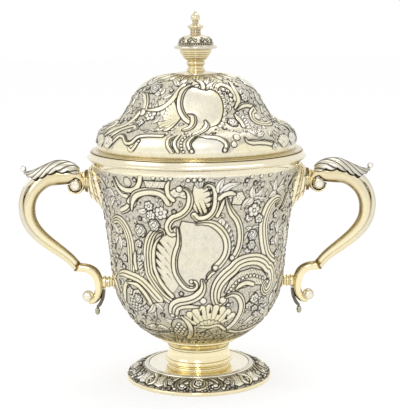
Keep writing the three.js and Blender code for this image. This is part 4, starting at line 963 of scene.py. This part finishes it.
def chase_cover(c):
    """Scrolls, fans and plumes round a plain cartouche, the same on both sides of the cover."""
    # Side fillers
    c.shell((90, 20), 22, 90, 130, 11)
    c.shell((90, 62), 24, 90, 120, 9)
    c.band([(72, 18), (76, 28), (84, 33), (92, 30), (94, 24)], 4.4, ball=2.4)
    c.band([(112, 18), (108, 28), (103, 33), (97, 30)], 4.4)
    c.spray((90, 50), [(78, 58), (84, 62), (96, 62), (102, 58)], 5)
    c.rose((90, 47), 5.6)
    for turn in (0, 40):
        c.spray((70 + turn, 52), [(64 + turn, 60), (72 + turn, 66), (78 + turn, 46), (64 + turn, 44)], 4.4)

    # Plumes that spread towards the finial
    for turn in range(-90, 90, 18):
        c.leaf((turn, 84), (turn + 7, 102), 5, 0.12)
    c.spray((10, 72), [(14, 92), (21, 92), (27, 87), (31, 80)], 5.2)
    c.spray((-20, 76), [(-15, 94), (-24, 93), (-33, 86)], 5)

    # Left: fans, leaves and flowers on long stems
    c.shell((-12, 44), 21, 178, 130, 10, height=1.5, tone=0.85, gold=0.8)
    c.band([(-59.2, 65.6), (-54.2, 63.9), (-49.2, 58.9), (-47.5, 53.1), (-48.3, 48.1)], 5, ball=3.2)
    c.fronds([(-57, 52), (-57.5, 44), (-56, 33)], 8, 6, 0.2)
    c.spray((-30, 46), [(-26.7, 54), (-36, 59.7), (-24, 40), (-34, 38)], 4.6)
    c.spray((-36, 66), [(-33.3, 73), (-40, 77), (-43, 66)], 4.6)
    c.flower((-38.4, 46.4), 6)
    c.flower((-45, 37), 4.6, 5)
    c.rose((-46, 72), 6)
    c.leaf((-30, 62), (-22, 66), 4.6, 0.1)
    c.rib([(-43.3, 50.6), (-35, 51.4), (-28.3, 53.9), (-21.7, 60.6), (-16.7, 70.6), (-13.3, 77.2)], 3.4)
    c.band([(-66, 14), (-61, 24), (-57, 36), (-53, 47)], 4.4)
    c.band([(-60, 12), (-55, 21), (-51, 30), (-47, 33), (-43, 29), (-45, 24)], 3.6, ball=1.8)
    c.spray((-66, 76), [(-58, 84), (-66, 88), (-74, 82)], 4.6)

    # Right: a round scroll with lumps, stems and a volute
    c.band([(21, 64), (20, 72.2), (25, 77), (31.7, 76.5), (37.5, 71), (38, 62), (34, 56)], 4.4, ball=2.2)
    c.pearls([(24, 68), (29, 71), (33.5, 66), (32, 60)], 1.9)
    c.wedges([(26, 64), (30, 66), (28, 60)], 60, 5, 2.2)
    c.rib([(41.7, 78.9), (40.8, 68.9), (40, 59.7), (35, 52.2)], 3.2)
    c.band([(35, 50.6), (41.7, 53.9), (50, 53.9), (58.3, 50.6)], 3.6)
    c.band([(68.3, 34.7), (58.3, 32.2), (50.8, 34.7), (47.5, 39.7), (49.2, 45.6), (54.2, 48.9)], 4.6,
           lines=(0.15,))
    c.boss((54, 42.2), 3.4)
    c.rib([(31.7, 46.4), (34.2, 38.9), (33.8, 32.2)], 3.2)
    c.rose((27.3, 38.4), 4.8)
    c.spray((28, 56), [(22, 60), (30, 63), (34, 57), (26, 49)], 4.6)
    c.spray((46, 62), [(44, 72), (52, 70), (56, 60)], 4.6)
    c.flower((48, 61), 4)
    c.fronds([(40, 46), (41, 38), (39, 30)], -6, 5, 0.4)

    # The lower band: brackets and panels
    c.panel([(-54, 2), (-17, 2), (-16, 18), (-31, 16), (-35, 14), (-39, 10), (-44, 10), (-48, 13), (-52, 8)],
            height=0, tone=1, dark=0, gold=0.7)
    c.panel([(17, 2), (54, 2), (52, 6), (44, 8), (38, 10), (28, 12), (21, 8)], height=0, tone=1, dark=0,
            gold=0.9)
    c.band([(-62, 12), (-57, 8.5), (-53, 12.5), (-49.5, 17.4), (-45.5, 16.4), (-42.5, 12), (-38.3, 12.6),
            (-35, 18.1), (-29, 20.2), (-20, 20.4)], 3)
    c.rib([(-41, 9), (-38.6, 5.4), (-36, 8.4), (-33.6, 14)], 2.2, ball=1.2)
    for turn in (-60, -70, 58, 70):
        c.shell((turn, 3), 13, 90, 110, 7)
    c.band([(-10.8, 20.6), (-15, 17.2), (-15.4, 11.4), (-13.3, 6.4)], 3)
    c.rib([(-9.2, 21.4), (-11.7, 15.6), (-11.7, 10.6), (-10, 6)], 2.2)
    c.pearls([(-5, 20.6), (-7.9, 15.6), (-8.2, 9.7), (-7, 6)], 1.2)
    c.panel([(0, 3), (13, 3), (14.5, 11), (11, 16.5), (2, 17.5), (-1.6, 12)], tone=1, dark=0, gold=0.3)
    c.band([(0.8, 20.6), (-2.5, 17.2), (-4.2, 12.2), (-2.5, 6.4)], 3, ball=1.6)
    c.band([(0.8, 20.6), (5, 19.7), (11.7, 18.1), (15.4, 14.7), (16.7, 10.6), (15.4, 6.8)], 3.2, ball=1.6)
    c.boss((20.8, 11.4), 2.5)
    c.boss((23.3, 17.7), 3)
    c.band([(28.3, 16.4), (30, 12.7), (40, 11.4), (47, 9)], 3.4)
    c.flower((48.3, 6.6), 3.6, 5)
    c.spray((36, 18), [(44, 22), (40, 27), (32, 26)], 4)
    c.spray((-26, 27), [(-34, 30), (-20, 32), (-28, 34)], 4)

    # The cartouche in the middle is left plain
    c.fronds([(14, 34), (19, 41), (22, 50), (23, 59), (20.5, 67), (14, 71)], -4.5, 12, 0.2)
    c.panel([(9, 34), (16, 38), (21, 47), (23, 57), (21, 66), (15, 71), (10, 69), (14, 60), (14, 48)],
            height=0.5, tone=0.7, dark=1, gold=0.95)
    c.panel([(-12, 70), (-5, 73), (4, 74), (9, 70), (15, 69), (20, 63), (20.4, 56), (18.4, 47), (14.6, 39.6),
             (10, 36), (4, 40), (-2, 45), (-7, 46), (-11, 52), (-12.8, 60)], height=0.5, tone=0.6, dark=0.25)
    c.band([(-5, 76), (-10, 73.1), (-12.9, 68.9), (-14.2, 62.2), (-13.8, 55.6), (-11.7, 49.7), (-8.3, 44.3),
            (-5, 41)], 4)
    c.band([(-1.7, 75.6), (1.7, 76.4), (4.6, 73.9)], 3, ball=1.5)
    c.rib([(0, 85.2), (5, 82.2), (7.1, 78.1), (7.5, 73.1)], 3)
    c.band([(-5.8, 47.2), (-2.5, 45.6), (-2.1, 39.7), (-4.2, 33.9), (-7.5, 30.6)], 4)
    c.band([(6.7, 41), (7.5, 37.2), (5.8, 32.2), (2.5, 26.4), (-0.8, 22.2)], 4)

    c.sprigs(8, 96, 5, 2.6, 0.7, sides=(36, 90))
    c.sprigs(24, 96, 9, 2.2, 0.4, sides=(0, 36))

    # Plain gilding at the bottom, and painted shade towards the top and on the plain band
    up = c.arc[:, None] + 0 * c.height
    plain = smooth(5.4, 3.6, up)
    c.bare(plain)
    c.gold = np.maximum(0.85 * plain + c.gold * (1 - plain), 0.15 + 0.8 * smooth(75, 98, up))
    c.dusk = 0.3 * smooth(88, 100, up) + 0.12 * plain


cover_chart = chased(cover_wall, 2, 0.8, chase_cover)
cover_inside = sideways(cover_wall, WALL)[::-6]
cover_inside[-1, 1] = FLANGE_TOP
cover_lining = outline_of((BORE, CROWN), (BORE, CROWN - WALL), (18, CROWN - WALL), cover_inside[1:])
dress(make("cover_chased_dome", cover_chart.shape(cover_lining), sharp=None), "cover", "chased_gilt", CHASED,
      "cover_dome")

# The flange carries painted shade all over, and painted shade rings in its grooves
turned("cover_moulded_flange", "cover_flange", (FLANGE_BORE, FLANGE_FOOT), (93.7, FLANGE_FOOT),
       bulge((93.8, 209), (93.6, 209.7), 0.2), bend((93.3, 209.8), (89.8, 210.4), (0.5, 0.1), (0.9, 0.5), 6),
       bulge((89.6, 210.4), (88.6, 210.8), 0.2), (88.2, FLANGE_TOP), (FLANGE_BORE, FLANGE_TOP), body="cover",
       dusk=0.5, rings=(93.3, 89.7), strength=0.7)
turned("cover_plain_bezel", "cover_bezel", (88.4, 194.8), (89.9, 194.8), (90.2, 195.2), (90.2, FLANGE_FOOT),
       (88.4, FLANGE_FOOT), body="cover_ring")

# Finial

# The finial's pieces all carry painted shade
FINIAL = {"body": "cover", "sides": FINIAL_SIDES, "dusk": 0.3}
turned("finial_moulded_base", "finial_base", (BORE, CROWN), (17.2, CROWN),
       bulge((17.3, 275.7), (16.8, 277.4), 0.5), bend((16.5, 277.5), (9.5, 278.4), (0.2, 0.1), (0.7, 0.9), 6),
       (9.3, BASE_TOP), (BORE, BASE_TOP), gold=0.6, **FINIAL)
turned("finial_stepped_vase", "finial_vase", (BORE, BASE_TOP), (8.1, BASE_TOP),
       bulge((8.1, 278.6), (8.0, 280.3), 0.2), bulge((7.3, 281), (7.4, 283.7), -0.4),
       bulge((8, 284.4), (8, 286.8), 0.35), bulge((7.6, 287.2), (8.3, 288.2), -0.3),
       bend((8.6, 288.4), (10.1, 289.6), (0.5, 0.1), (0.95, 0.5), 5), (10.2, 290), (10.9, 290.1),
       bulge((11, 290.3), (11.2, 291.7), 0.2), (11.9, 291.8), bulge((12.1, 292), (12.3, 293.4), 0.2),
       (13, 293.5), bulge((13.2, 293.7), (13.4, 295), 0.2), (13.9, 295.1),
       bulge((14, 295.3), (14.2, 297), 0.1), (14.2, VASE_TOP), (BORE, VASE_TOP), gold=1, **FINIAL)
turned("finial_edged_plate", "finial_plate", (BORE, VASE_TOP), (14.2, VASE_TOP),
       bend((14.6, 297.5), (18.3, 298.2), (0.3, 0), (0.8, 0.7), 5), bulge((18.6, 298.3), (18.6, 300.4), 0.5),
       (18.2, 300.6), (17.2, 300.8), bulge((17, 300.9), (16, 301.4), 0.15), (15.4, PLATE_TOP),
       (BORE, PLATE_TOP), gold=0.2, **FINIAL)
turned("finial_ringed_spool", "finial_spool", (BORE, DOME_TOP), (7.8, DOME_TOP),
       bend((7.6, 309.8), (5.2, 310.4), (0.5, 0.1), (0.9, 0.5), 5), bulge((4.8, 310.6), (4.8, 311.6), 0.3),
       (4.3, 311.9), bulge((4.5, 312.2), (4.5, 313.4), 0.4), (4.3, 313.7),
       bulge((4.6, 313.9), (4.6, 314.7), 0.3), (4.4, SPOOL_TOP), (BORE, SPOOL_TOP), gold=0.6, **FINIAL)
turned("finial_disc_button", "finial_button", (0, 317.7), (BORE, 317.7), (BORE, SPOOL_TOP), (4.9, SPOOL_TOP),
       bend((5, 314.9), (6.5, 316.4), (0.7, 0.2), (0.9, 0.6), 5), bulge((6.7, 316.6), (6.7, 318.2), 0.5),
       bend((6.5, 318.4), (4.4, 319.3), (0.3, 0), (0.9, 0.5), 5), (4, 319.5), (2.7, BUTTON_TOP),
       (0, BUTTON_TOP), closed=False, gold=0.6, **FINIAL)
turned("finial_pointed_bud", "finial_bud", (0, BUTTON_TOP), (2.6, BUTTON_TOP),
       bulge((2.6, 320.6), (2.6, 322), 0.5), bend((2.6, 322.2), (4.3, 325.4), (0.6, 0.15), (1, 0.6), 8),
       bend((4.3, 325.4), (1.3, 329.3), (0, 0.4), (0.6, 0.85), 8)[1:],
       bulge((1.2, 329.5), (0.9, 330.8), 0.45), (0, 331), closed=False, gold=0.6, **FINIAL)


def chase_finial(c):
    """Small shells and leaves under a scalloped line, over a row of pearls."""
    c.tone += 0.5
    c.shell((0, 2.2), 7, 90, 66, 5, height=0.4)
    c.leaf((-22.5, 2), (-22.5, 8), 3, 0, height=0.4)
    c.rib([(-22.5, 4), (-11, 6.2), (0, 4), (11, 6.2), (22.5, 4)], 1, ends=(1, 1), height=0.3)
    c.pearls([(-22.5, 1), (22.5, 1)], 0.8)
    c.gold += 0.35
    c.tone *= 0.8


finial_slope = outline_of(bulge((14.9, 301.6), (15.2, 303.4), 0.2),
                          bend((15.2, 303.5), (8.6, DOME_TOP), (0, 0.5), (0.5, 0.95), 12))
finial_chart = chased(finial_slope, 8, 0.5, chase_finial)
finial_shape = finial_chart.shape([(BORE, DOME_TOP), (BORE, PLATE_TOP), (14.8, PLATE_TOP)])
dress(make("finial_chased_dome", finial_shape), "cover", "chased_gilt", CHASED, "finial_dome")

for node in ("finial_stud", "finial_washer", "finial_nut"):
    thing = bpy.data.objects[node]
    thing.data.materials.clear()
    thing.data.materials.append(PLAIN)

# Handles, drawn on the right, in the plane Y = 0, from where their two sockets meet the bowl

UPPER, LOWER = (np.array([np.interp(up, bowl_wall[:, 1], bowl_wall[:, 0]), up]) for up in (181.3, 88.5))
EYE = UPPER + (20, -3.7)
BOSS_REACH = 5.4
SWEEP_STEPS = 6
# The way that the main and the lower scroll point where they are joined on the slant
BEVEL = np.array([-0.79, -0.61])


def stations(origin, rows):
    """[x, z, half depth, half width] rows, moved to a point."""
    return np.array(rows) + [*origin, 0, 0]


def swept(rows, section, fields, start=False, end=False):
    """A shape swept through stations. section gives the way out at each turn. Either end may be bevelled."""
    s = spline(rows, SWEEP_STEPS)
    way = ahead(s[:, :2])
    for bevelled, low, high in ((start, SWEEP_STEPS, 0), (end, len(s) - 2 * SWEEP_STEPS, len(s) - 1)):
        if bevelled:
            share = smooth(low, high, np.arange(len(s)))[:, None]
            way = way * (1 - share) + BEVEL * share
            way /= np.linalg.norm(way, axis=1)[:, None]
    turn = circle(TUBE_SIDES)
    a, b = section(turn)
    x = s[:, :1] + way[:, 1:] * a * s[:, 2:3]
    y = b * s[:, 3:4]
    z = s[:, 1:2] - way[:, :1] * a * s[:, 2:3]
    poles = [(s[0, 0], 0, s[0, 1]), (s[-1, 0], 0, s[-1, 1])]
    along = arc_length(s[:, :2])
    along = (along / along[-1])[:, None] + 0 * a
    return capped(np.stack([x, y, z], -1), poles, flipped=True,
                  **{"tone": 1, **fields(turn + 0 * along, along)})


def oval(turn):
    return np.cos(turn), np.sin(turn)


def along_x(outline, sides, at):
    """A turned shape about the X axis, from [radius, x] pairs, at a point."""
    return lathe(outline, sides, closed=False).placed(at, "Y")


def ball(radius, at, gold):
    t = np.linspace(-math.pi / 2, math.pi / 2, 17)
    return lathe(np.stack([radius * np.cos(t), radius * np.sin(t)], 1), 32, closed=False,
                 gold=gold).placed(at)


def edged(shape, most):
    """Paints brown shade on a round shape towards its edge in the plane Y = 0."""
    x, z = (shape.points[:, i] - (shape.points[:, i].min() + shape.points[:, i].max()) / 2 for i in (0, 2))
    reach = np.hypot(x, z)
    shape.fields["dusk"] = smooth(0.6, 1, reach / reach.max()) * most
    return shape


def on_bowl(shape):
    """Brings what lies inside the bowl's wall back to just under its surface."""
    p = shape.points
    radius = np.hypot(p[:, 0], p[:, 1])
    wall = np.interp(p[:, 2], bowl_wall[:, 1], bowl_wall[:, 0]) - 0.7
    p[:, :2] *= np.maximum(1, wall / np.maximum(radius, 1))[:, None]
    return shape


# Half depth and half width of the rod round the volute's button, and stations of the shoulder from UPPER
CURL = [[1.3, 4.2], [1.4, 4.6], [1.5, 5], [1.6, 5.3], [1.9, 5.6], [3, 5.9], [4.5, 6.1]]
SHOULDER = [[26.5, 4.7, 7.2, 6.2], [32.5, 4.6, 8, 6.3], [38.5, 4.1, 8, 6.3], [45.5, 2, 7.3, 6.2],
            [52, -2.8, 6.5, 6.1], [57.4, -9, 6, 6], [60.8, -16, 5.8, 5.9], [62.1, -23.5, 5.6, 5.8]]
SCROLL_END = LOWER + (32.4, 15.75)


def main_stations():
    """The main scroll: the curl round its button, the shoulder and the fall to the lower scroll."""
    rows = []
    for k, (deep, wide) in enumerate(CURL):
        turn = -k / (len(CURL) - 1) * 1.5 * math.pi
        reach = BOSS_REACH + deep
        rows.append([EYE[0] + reach * math.cos(turn), EYE[1] + reach * math.sin(turn), deep, wide])
    rows = np.vstack([rows, stations(UPPER, SHOULDER)])
    start = rows[-1]
    first = np.array([start[0] + 2, (start[1] + SCROLL_END[1]) / 2])
    path = cubic(start[:2], first, SCROLL_END + (10.6, 17), SCROLL_END, 8)[1:]
    t = np.linspace(0, 1, 9)[1:, None]
    deep = start[2] + (3.1 - start[2]) * np.minimum(1, t * 1.15)
    wide = start[3] + (3.7 - start[3]) * t
    return np.vstack([rows, np.hstack([path, deep, wide])])


MAIN = main_stations()


def tube_fields(turn, share):
    """Painted brown shade along the inner contour and lightly all round the upper part, golder at the
    shoulder, with a painted dark line for a fine ledge along the lower half, painted shade lines along the
    curl and a dark line at the bevelled end.
    """
    inner = np.cos(turn)
    ledge = np.exp(-((inner - 0.4) / 0.07) ** 2) * smooth(0.5, 0.58, share)
    curl = np.maximum(smooth(0.12, 0.08, share) * smooth(0.75, 0.95, np.abs(inner)),
                      smooth(0.36, 0.3, share) * smooth(0.5, 0.8, inner))
    contour = smooth(0.1, 1.0, inner) * (0.35 + 0.5 * smooth(0.15, 0.35, share))
    return {"dusk": np.maximum(contour, 0.2 * smooth(0.9, 0.3, share)),
            "line": np.maximum(np.maximum(ledge * 0.8, curl), smooth(0.975, 0.995, share)),
            "gold": 1 - 0.5 * smooth(0.4, -0.9, inner) * smooth(0.2, 0.6, share)}


def scroll():
    """The main scroll, on a trumpet that stands on the collar."""
    trumpet = outline_of((0, 0), (8.6, 0), bend((8.6, 0.2), (4.2, 6), (0.2, 0.3), (0.5, 0.9), 10), (0, 6.2))
    root = along_x(trumpet, 48, UPPER + (11.5, 0.5))
    root.points[:, 1] *= 0.55
    # Painted shade on the trumpet
    root.fields["dusk"] += 0.35
    return [swept(MAIN, oval, tube_fields, end=True), root]


def eased(value, power):
    """A power of a value, with the value's sign."""
    return np.sign(value) * np.abs(value) ** power


def reeds(side):
    """The strap's reeds, from 0 in the grooves, by how far it is to either side."""
    return np.abs(np.sin(side * 3.5 * math.pi))


def strap_section(turn):
    """A band, round at its edges, with reeds on its back."""
    a, side = np.cos(turn), eased(np.sin(turn), 0.7)
    return eased(a, 0.55) * (1 - 0.16 * reeds(side) * (a < -0.2)), side


def strap_fields(turn, share):
    """Dark lines painted as shade between the reeds and faintly along the inner side, painted shade towards
    the upper end, and gilding towards the lower end.
    """
    back = np.cos(turn) < -0.2
    inner = smooth(0.3, 1.0, np.cos(turn)) * smooth(0.6, 0.3, share)
    return {"line": smooth(0.8, 1, reeds(eased(np.sin(turn), 0.7))) * back * 0.6 + inner * 0.2,
            "dusk": 0.15 * smooth(0.7, 0.4, share), "tone": 0.85 + 0 * turn,
            "gold": 0.2 + 0.6 * smooth(0.4, 0.8, share)}


def strap():
    """The reeded band along the main scroll's back, thinner and narrower towards its lower end."""
    first = len(CURL) + 5
    way, rows = ahead(MAIN[:, :2])[first:], MAIN[first:]
    share = np.linspace(0, 1, len(rows))
    sunk = 0.9 * smooth(0.05, 0.35, share)
    thick = (4.2 + (2.8 - 4.2) * share) / 2 + sunk
    out = rows[:, 2] + 0.1 + thick - 2 * sunk
    x = rows[:, 0] - way[:, 1] * out
    z = rows[:, 1] + way[:, 0] * out
    path = np.stack([x, z, thick, 4.6 + (3.7 - 4.6) * share], 1)
    rows = np.vstack([stations(UPPER, [57.6, 2.4, 3, 4.6]), path])
    return [swept(rows, strap_section, strap_fields, end=True)]


# Stations of the leaf from UPPER: x, the heights of its hem and crest, and half width
LEAF = [[16.2, 6.2, 12, 5.6], [20, 7.8, 15.6, 7.2], [25.5, 9, 18.2, 8.2], [31.5, 9.4, 19.2, 8.8],
        [38, 9.4, 18.9, 8.8], [44, 7.4, 16.8, 8.2], [49.5, 5, 14.2, 7.2], [55, 3.2, 11.6, 5.8],
        [60, 3.8, 9.8, 4.2], [63.6, 5.8, 9.4, 2.8], [66, 7.8, 11, 1.8]]


def leaf():
    """An acanthus leaf over the scroll's shoulder, ribbed along its length, with a scalloped edge."""
    s = spline(LEAF, 8)
    u = np.linspace(0, 1, len(s))[:, None]
    v = np.linspace(0, 1, 65)[None]
    turn = math.pi * (1 - v)
    edge = np.abs(v - 0.5) * 2
    along = 6.5 * u ** 1.2
    lobes = np.abs(np.sin(math.pi * along)) ** 0.7
    low = s[:, 1:2] - 2.4 * lobes * edge ** 6 + 1.4 * edge ** 8
    rib = np.abs(np.sin(math.pi * (along + 2.6 * (1 - edge))))
    groove = (1 - rib) ** 2 * smooth(1, 0.9, u) * smooth(0.1, 0.3, edge)
    swell = 1 - 0.09 * groove + 0.06 * edge ** 4 * lobes
    y = s[:, 3:4] * np.cos(turn) * swell
    z = low + (s[:, 2:3] - s[:, 1:2]) * np.sin(turn) * swell
    x = s[:, :1] + 0 * v
    top = np.stack([x, y, z], -1)
    w = np.linspace(0, 1, 17)[None, 1:-1]
    under_turn = math.pi * w
    uy = s[:, 3:4] * np.cos(under_turn) * 0.8
    uz = s[:, 1:2] + (s[:, 2:3] - s[:, 1:2]) * 0.4 * np.sin(under_turn)
    under = np.stack([s[:, :1] + 0 * w, uy, uz], -1)
    # Dark lines in the grooves between the ribs and at the hem, painted as shade in the creases, and beside
    # the midrib; painted shade towards the tip and the middle, and on the underside, which is matt with dark
    # lines
    hem = smooth(0.93, 1, edge) * smooth(0.95, 0.85, u)
    crest = np.exp(-((edge - 0.16) / 0.06) ** 2)
    below = np.ones((len(s), under.shape[1]))
    tone = 0.6 + 0.4 * rib * smooth(0.05, 0.3, edge)
    dusk = 0.26 + 0.4 * smooth(0.7, 0.98, u) + 0.2 * smooth(0.5, 0.1, edge)
    shape = capped(np.concatenate([top, under], 1), flipped=True, tone=np.hstack([tone, below * 0]),
                   gold=0.45, line=np.hstack([np.maximum(np.maximum(groove, hem), crest * 0.8), below * 0.6]),
                   dusk=np.hstack([dusk, below * 0.5]))
    shape.fields["tone"][-2:] = 1
    return [shape.placed(UPPER), edged(ball(2.7, UPPER + (66.4, 11.4), 0), 0.8)]


# Stations of the lower scroll from LOWER
LOWER_PATH = [[33.9, 14.2, 4.9, 4.1], [29.4, 13.4, 4.2, 4.2], [25.6, 12.9, 4.2, 4.3], [21.9, 11.7, 4.4, 4.4],
              [18.3, 9.1, 4.6, 4.4], [15.8, 5.1, 4.5, 4.4], [14.2, 0, 4.3, 4.4], [13.8, -5, 4.1, 4.3],
              [14.5, -10, 4, 4.2], [16, -13.7, 3.7, 4], [18.2, -16.6, 3.2, 3.7], [20.9, -18.2, 2.5, 3.4],
              [23.6, -18.3, 1.8, 3]]


def back_fields(turn, share):
    """Painted brown shade on the back, darkest where the scroll turns over at its top, and a dark line at its
    joined start.
    """
    back = np.cos(turn)
    return {"dusk": smooth(0, 0.9, back) * (0.45 + 0.5 * smooth(0.6, 0.3, share)), "gold": 1 + 0 * turn,
            "line": smooth(0.05, 0.02, share) + 0 * turn}


def lower_scroll():
    """The small C-scroll and the ball in its lower end."""
    rows = stations(LOWER, LOWER_PATH)
    x, z, deep, _ = rows[-1]
    return [swept(rows, oval, back_fields, start=True), edged(ball(5.3, (x + 0.4, z + deep + 3.4), 0.4), 0.7)]


def boss():
    """The button in the volute's eye, the same on both faces."""
    half = outline_of((0, -6.6), (2.6, -6.4), bend((2.7, -6.3), (4.2, -5.5), (0.6, 0.1), (1, 0.6), 5),
                      (4.2, -4.8), bulge((4.5, -4.7), (5.1, -4.3), 0.2), (5.1, -4))
    both = outline_of(half, half[::-1] * [1, -1])
    return [edged(lathe(both, 48, closed=False, gold=0.35).placed(EYE, "X"), 0.6)]


def handle_collar():
    """The two rings between the pad and the scroll."""
    out = outline_of((0, 0), (10, 0), bulge((10.1, 0.1), (10.1, 1.1), 0.3), (9.5, 1.3),
                     bulge((9.8, 1.5), (9.8, 2.5), 0.35), (9.4, 2.6), (0, 2.6))
    shape = along_x(out, 64, UPPER + (8.6, 0))
    away = np.abs(shape.points[:, 2] - UPPER[1]) / 10
    # Painted reflection: brown shade and dark lines towards the top and the bottom of the rings
    shape.fields["dusk"] = smooth(0.2, 0.6, away)
    shape.darken("line", 0.7 * smooth(0.4, 0.9, away))
    return [shape]


# Steps of the pad: x from UPPER, reach down, up and sideways, and how much it leans with the bowl's wall
PLATE_STEPS = [[-5, 28.3, 16, 19, 0.23], [1, 28.3, 16, 19, 0.23], [2.6, 25.6, 14.4, 17.2, 0.22],
               [4.2, 20.4, 12.8, 15, 0.2], [5.2, 19.8, 12.4, 14.6, 0.18], [7, 16.6, 11.6, 13, 0.1],
               [7.6, 12, 11, 11.4, 0.02], [8.3, 10.8, 10.6, 10.8, 0]]


def plate():
    """A shell-like stepped pad, with upright reeds."""
    steps = np.array(PLATE_STEPS)
    fine = [a * (1 - t) + b * t for a, b in zip(steps, steps[1:]) for t in np.linspace(0, 1, 5)[:-1]]
    fine = np.vstack(fine + [steps[-1:]])
    turn = circle(120)
    sin, cos = np.sin(turn)[None], np.cos(turn)[None]
    up = sin * np.where(sin < 0, fine[:, 1:2], fine[:, 2:3])
    reed = np.abs(np.cos(turn * 9))[None]
    depth = smooth(0.5, 2, fine[:, :1]) * smooth(4.4, 2.8, fine[:, :1])
    x = UPPER[0] + np.minimum(fine[:, :1] + fine[:, 4:5] * up, 8.3) - (1 - reed) * 0.6 * depth
    y = fine[:, 3:4] * cos * (1 - (1 - reed) * 0.03 * depth)
    # Painted shade: dark lines in the grooves between the reeds and at the steps
    seams = sum(np.exp(-((fine[:, :1] - out) / 0.35) ** 2) for out in (1.6, 4.3, 7.1))
    line = np.maximum((1 - reed) ** 2 * depth, seams * 0.9)
    return [on_bowl(capped(np.stack([x, y, UPPER[1] + up], -1), line=line, tone=1, gold=0.8))]


def socket():
    """The ringed socket between the bowl and the lower scroll, whose back starts where back says."""
    back = 9.5
    out = outline_of((0, -4), (6.4, -4), (6.4, 1), bulge((6.2, 1.1), (4.6, 2.4), -0.2), (4.5, 3.6),
                     bulge((5, 3.9), (5.2, 5.6), 0.5), (4.7, 6), (4.7, 7),
                     bulge((5.6, 7.4), (5.8, back - 0.4), 0.5), (5.2, back + 0.8), (0, back + 1))
    return [on_bowl(along_x(out, 48, LOWER))]


def rib_fields(turn, share):
    """Dark lines along a leaf, and painted shade all over, darkest on the face towards the scroll."""
    return {"line": smooth(0.6, 1, np.abs(np.sin(turn * 3))) * 0.9, "gold": 0.3 + 0 * turn,
            "dusk": 0.75 + 0.25 * smooth(0.2, 0.9, -np.cos(turn))}


def tail():
    """The leaf below the socket and its drop."""
    rows = stations(LOWER, [[9.4, -7, 1.3, 2.8], [9.9, -11.5, 1.5, 3.8], [11.2, -16.4, 1.6, 4],
                            [13.3, -20.6, 1.6, 3.6], [15.8, -23.4, 1.4, 2.2]])
    drop = outline_of((0, -7.6), bulge((0.6, -7.5), (1.0, -1.2), 1.6, 12), (0.9, -0.3), (0, 0.3))
    # The drop carries painted shade too
    shape = lathe(drop, 32, closed=False, gold=1.0, dusk=0.6).placed(rows[-1, :2] + (0, 0.4))
    return [swept(rows, oval, rib_fields), shape]


# For each piece: its name, the function that shapes it, its CAD node, slot, metal and sharpest smooth angle
HANDLE = [
    ("fluted_pad", plate, "plate", "gilt", POLISHED, 40),
    ("ringed_collar", handle_collar, "collar", "gilt", POLISHED, 40),
    ("main_scroll", scroll, "scroll", "gilt", POLISHED, None),
    ("volute_button", boss, "boss", "gilt", POLISHED, 40),
    ("reeded_strap", strap, "strap", "gilt", POLISHED, 50),
    ("acanthus_leaf", leaf, "leaf", "chased_silver", CAST, None),
    ("small_scroll", lower_scroll, "lower_scroll", "gilt", POLISHED, None),
    ("ringed_socket", socket, "socket", "gilt", POLISHED, 40),
    ("leaf_and_drop", tail, "tail", "chased_silver", CAST, None),
]
for side in ("right", "left"):
    for name, shapes, node, slot, material, sharp in HANDLE:
        thing = make(f"{side}_{name}", *shapes(), sharp=sharp, flip=side == "left")
        dress(thing, "cup", slot, material, f"{side}_handle_{node}")

# Floor, light and camera

floor = added("floor", bpy.data.meshes.new("floor"))
floor.data.from_pydata([(-6, -6, 0), (6, -6, 0), (6, 6, 0), (-6, 6, 0)], [], [(0, 1, 2, 3)])
material = bpy.data.materials.new("pale_floor")
material.use_nodes = True
n = Nodes(material.node_tree)
soft = n.add("BsdfDiffuse", {"Color": (0.5, 0.5, 0.5, 1)}).outputs[0]
glow = n.add("Emission", {"Color": (1, 1, 1, 1), "Strength": n.sum("MULTIPLY", n.shown(), 0.5)}).outputs[0]
n.add("OutputMaterial", {"Surface": n.add("AddShader", {0: soft, 1: glow}).outputs[0]})
floor.data.materials.append(material)

world = bpy.data.worlds.new("studio")
bpy.context.scene.world = world
world.use_nodes = True
n = Nodes(world.node_tree)
glow = n.add("Background", {"Color": (1, 1, 1, 1), "Strength": n.ramp(n.shown(), 0, 1, 0.98, 1.0)}).outputs[0]
n.add("OutputWorld", {"Surface": glow})


def lamp(name, at, toward, size, watts):
    """A round soft light."""
    data = bpy.data.lights.new(name, "AREA")
    data.shape = "DISK"
    data.size = size
    data.energy = watts
    thing = added(name, data)
    thing.location = at
    thing.rotation_euler = (Vector(toward) - Vector(at)).to_track_quat("-Z", "Y").to_euler()


lamp("key", (-0.1, -1.6, 1.0), (0, 0, 0.15), 0.4, 4)
lamp("fill", (-1.3, -0.7, 1.1), (0, 0, 0.15), 1.2, 4)
lamp("top", (0.3, 0.4, 1.6), (0, 0, 0.2), 1.0, 4)

camera = added("camera", bpy.data.cameras.new("camera"))
camera.data.sensor_fit = "VERTICAL"
camera.data.sensor_height = 36
camera.data.lens = 113.99
CAMERA_AT = (0.0025, -1.15, 0.345)
PITCH, ROLL = math.radians(9.2), math.radians(-0.56)
forward = Vector((0, math.cos(PITCH), -math.sin(PITCH)))
level = Vector((1, 0, 0))
upward = level.cross(forward)
right = level * math.cos(ROLL) + upward * math.sin(ROLL)
above = upward * math.cos(ROLL) - level * math.sin(ROLL)
camera.matrix_world = Matrix.Translation(CAMERA_AT) @ Matrix((right, above, -forward)).transposed().to_4x4()
bpy.context.scene.camera = camera
bpy.context.scene.view_settings.view_transform = "Standard"
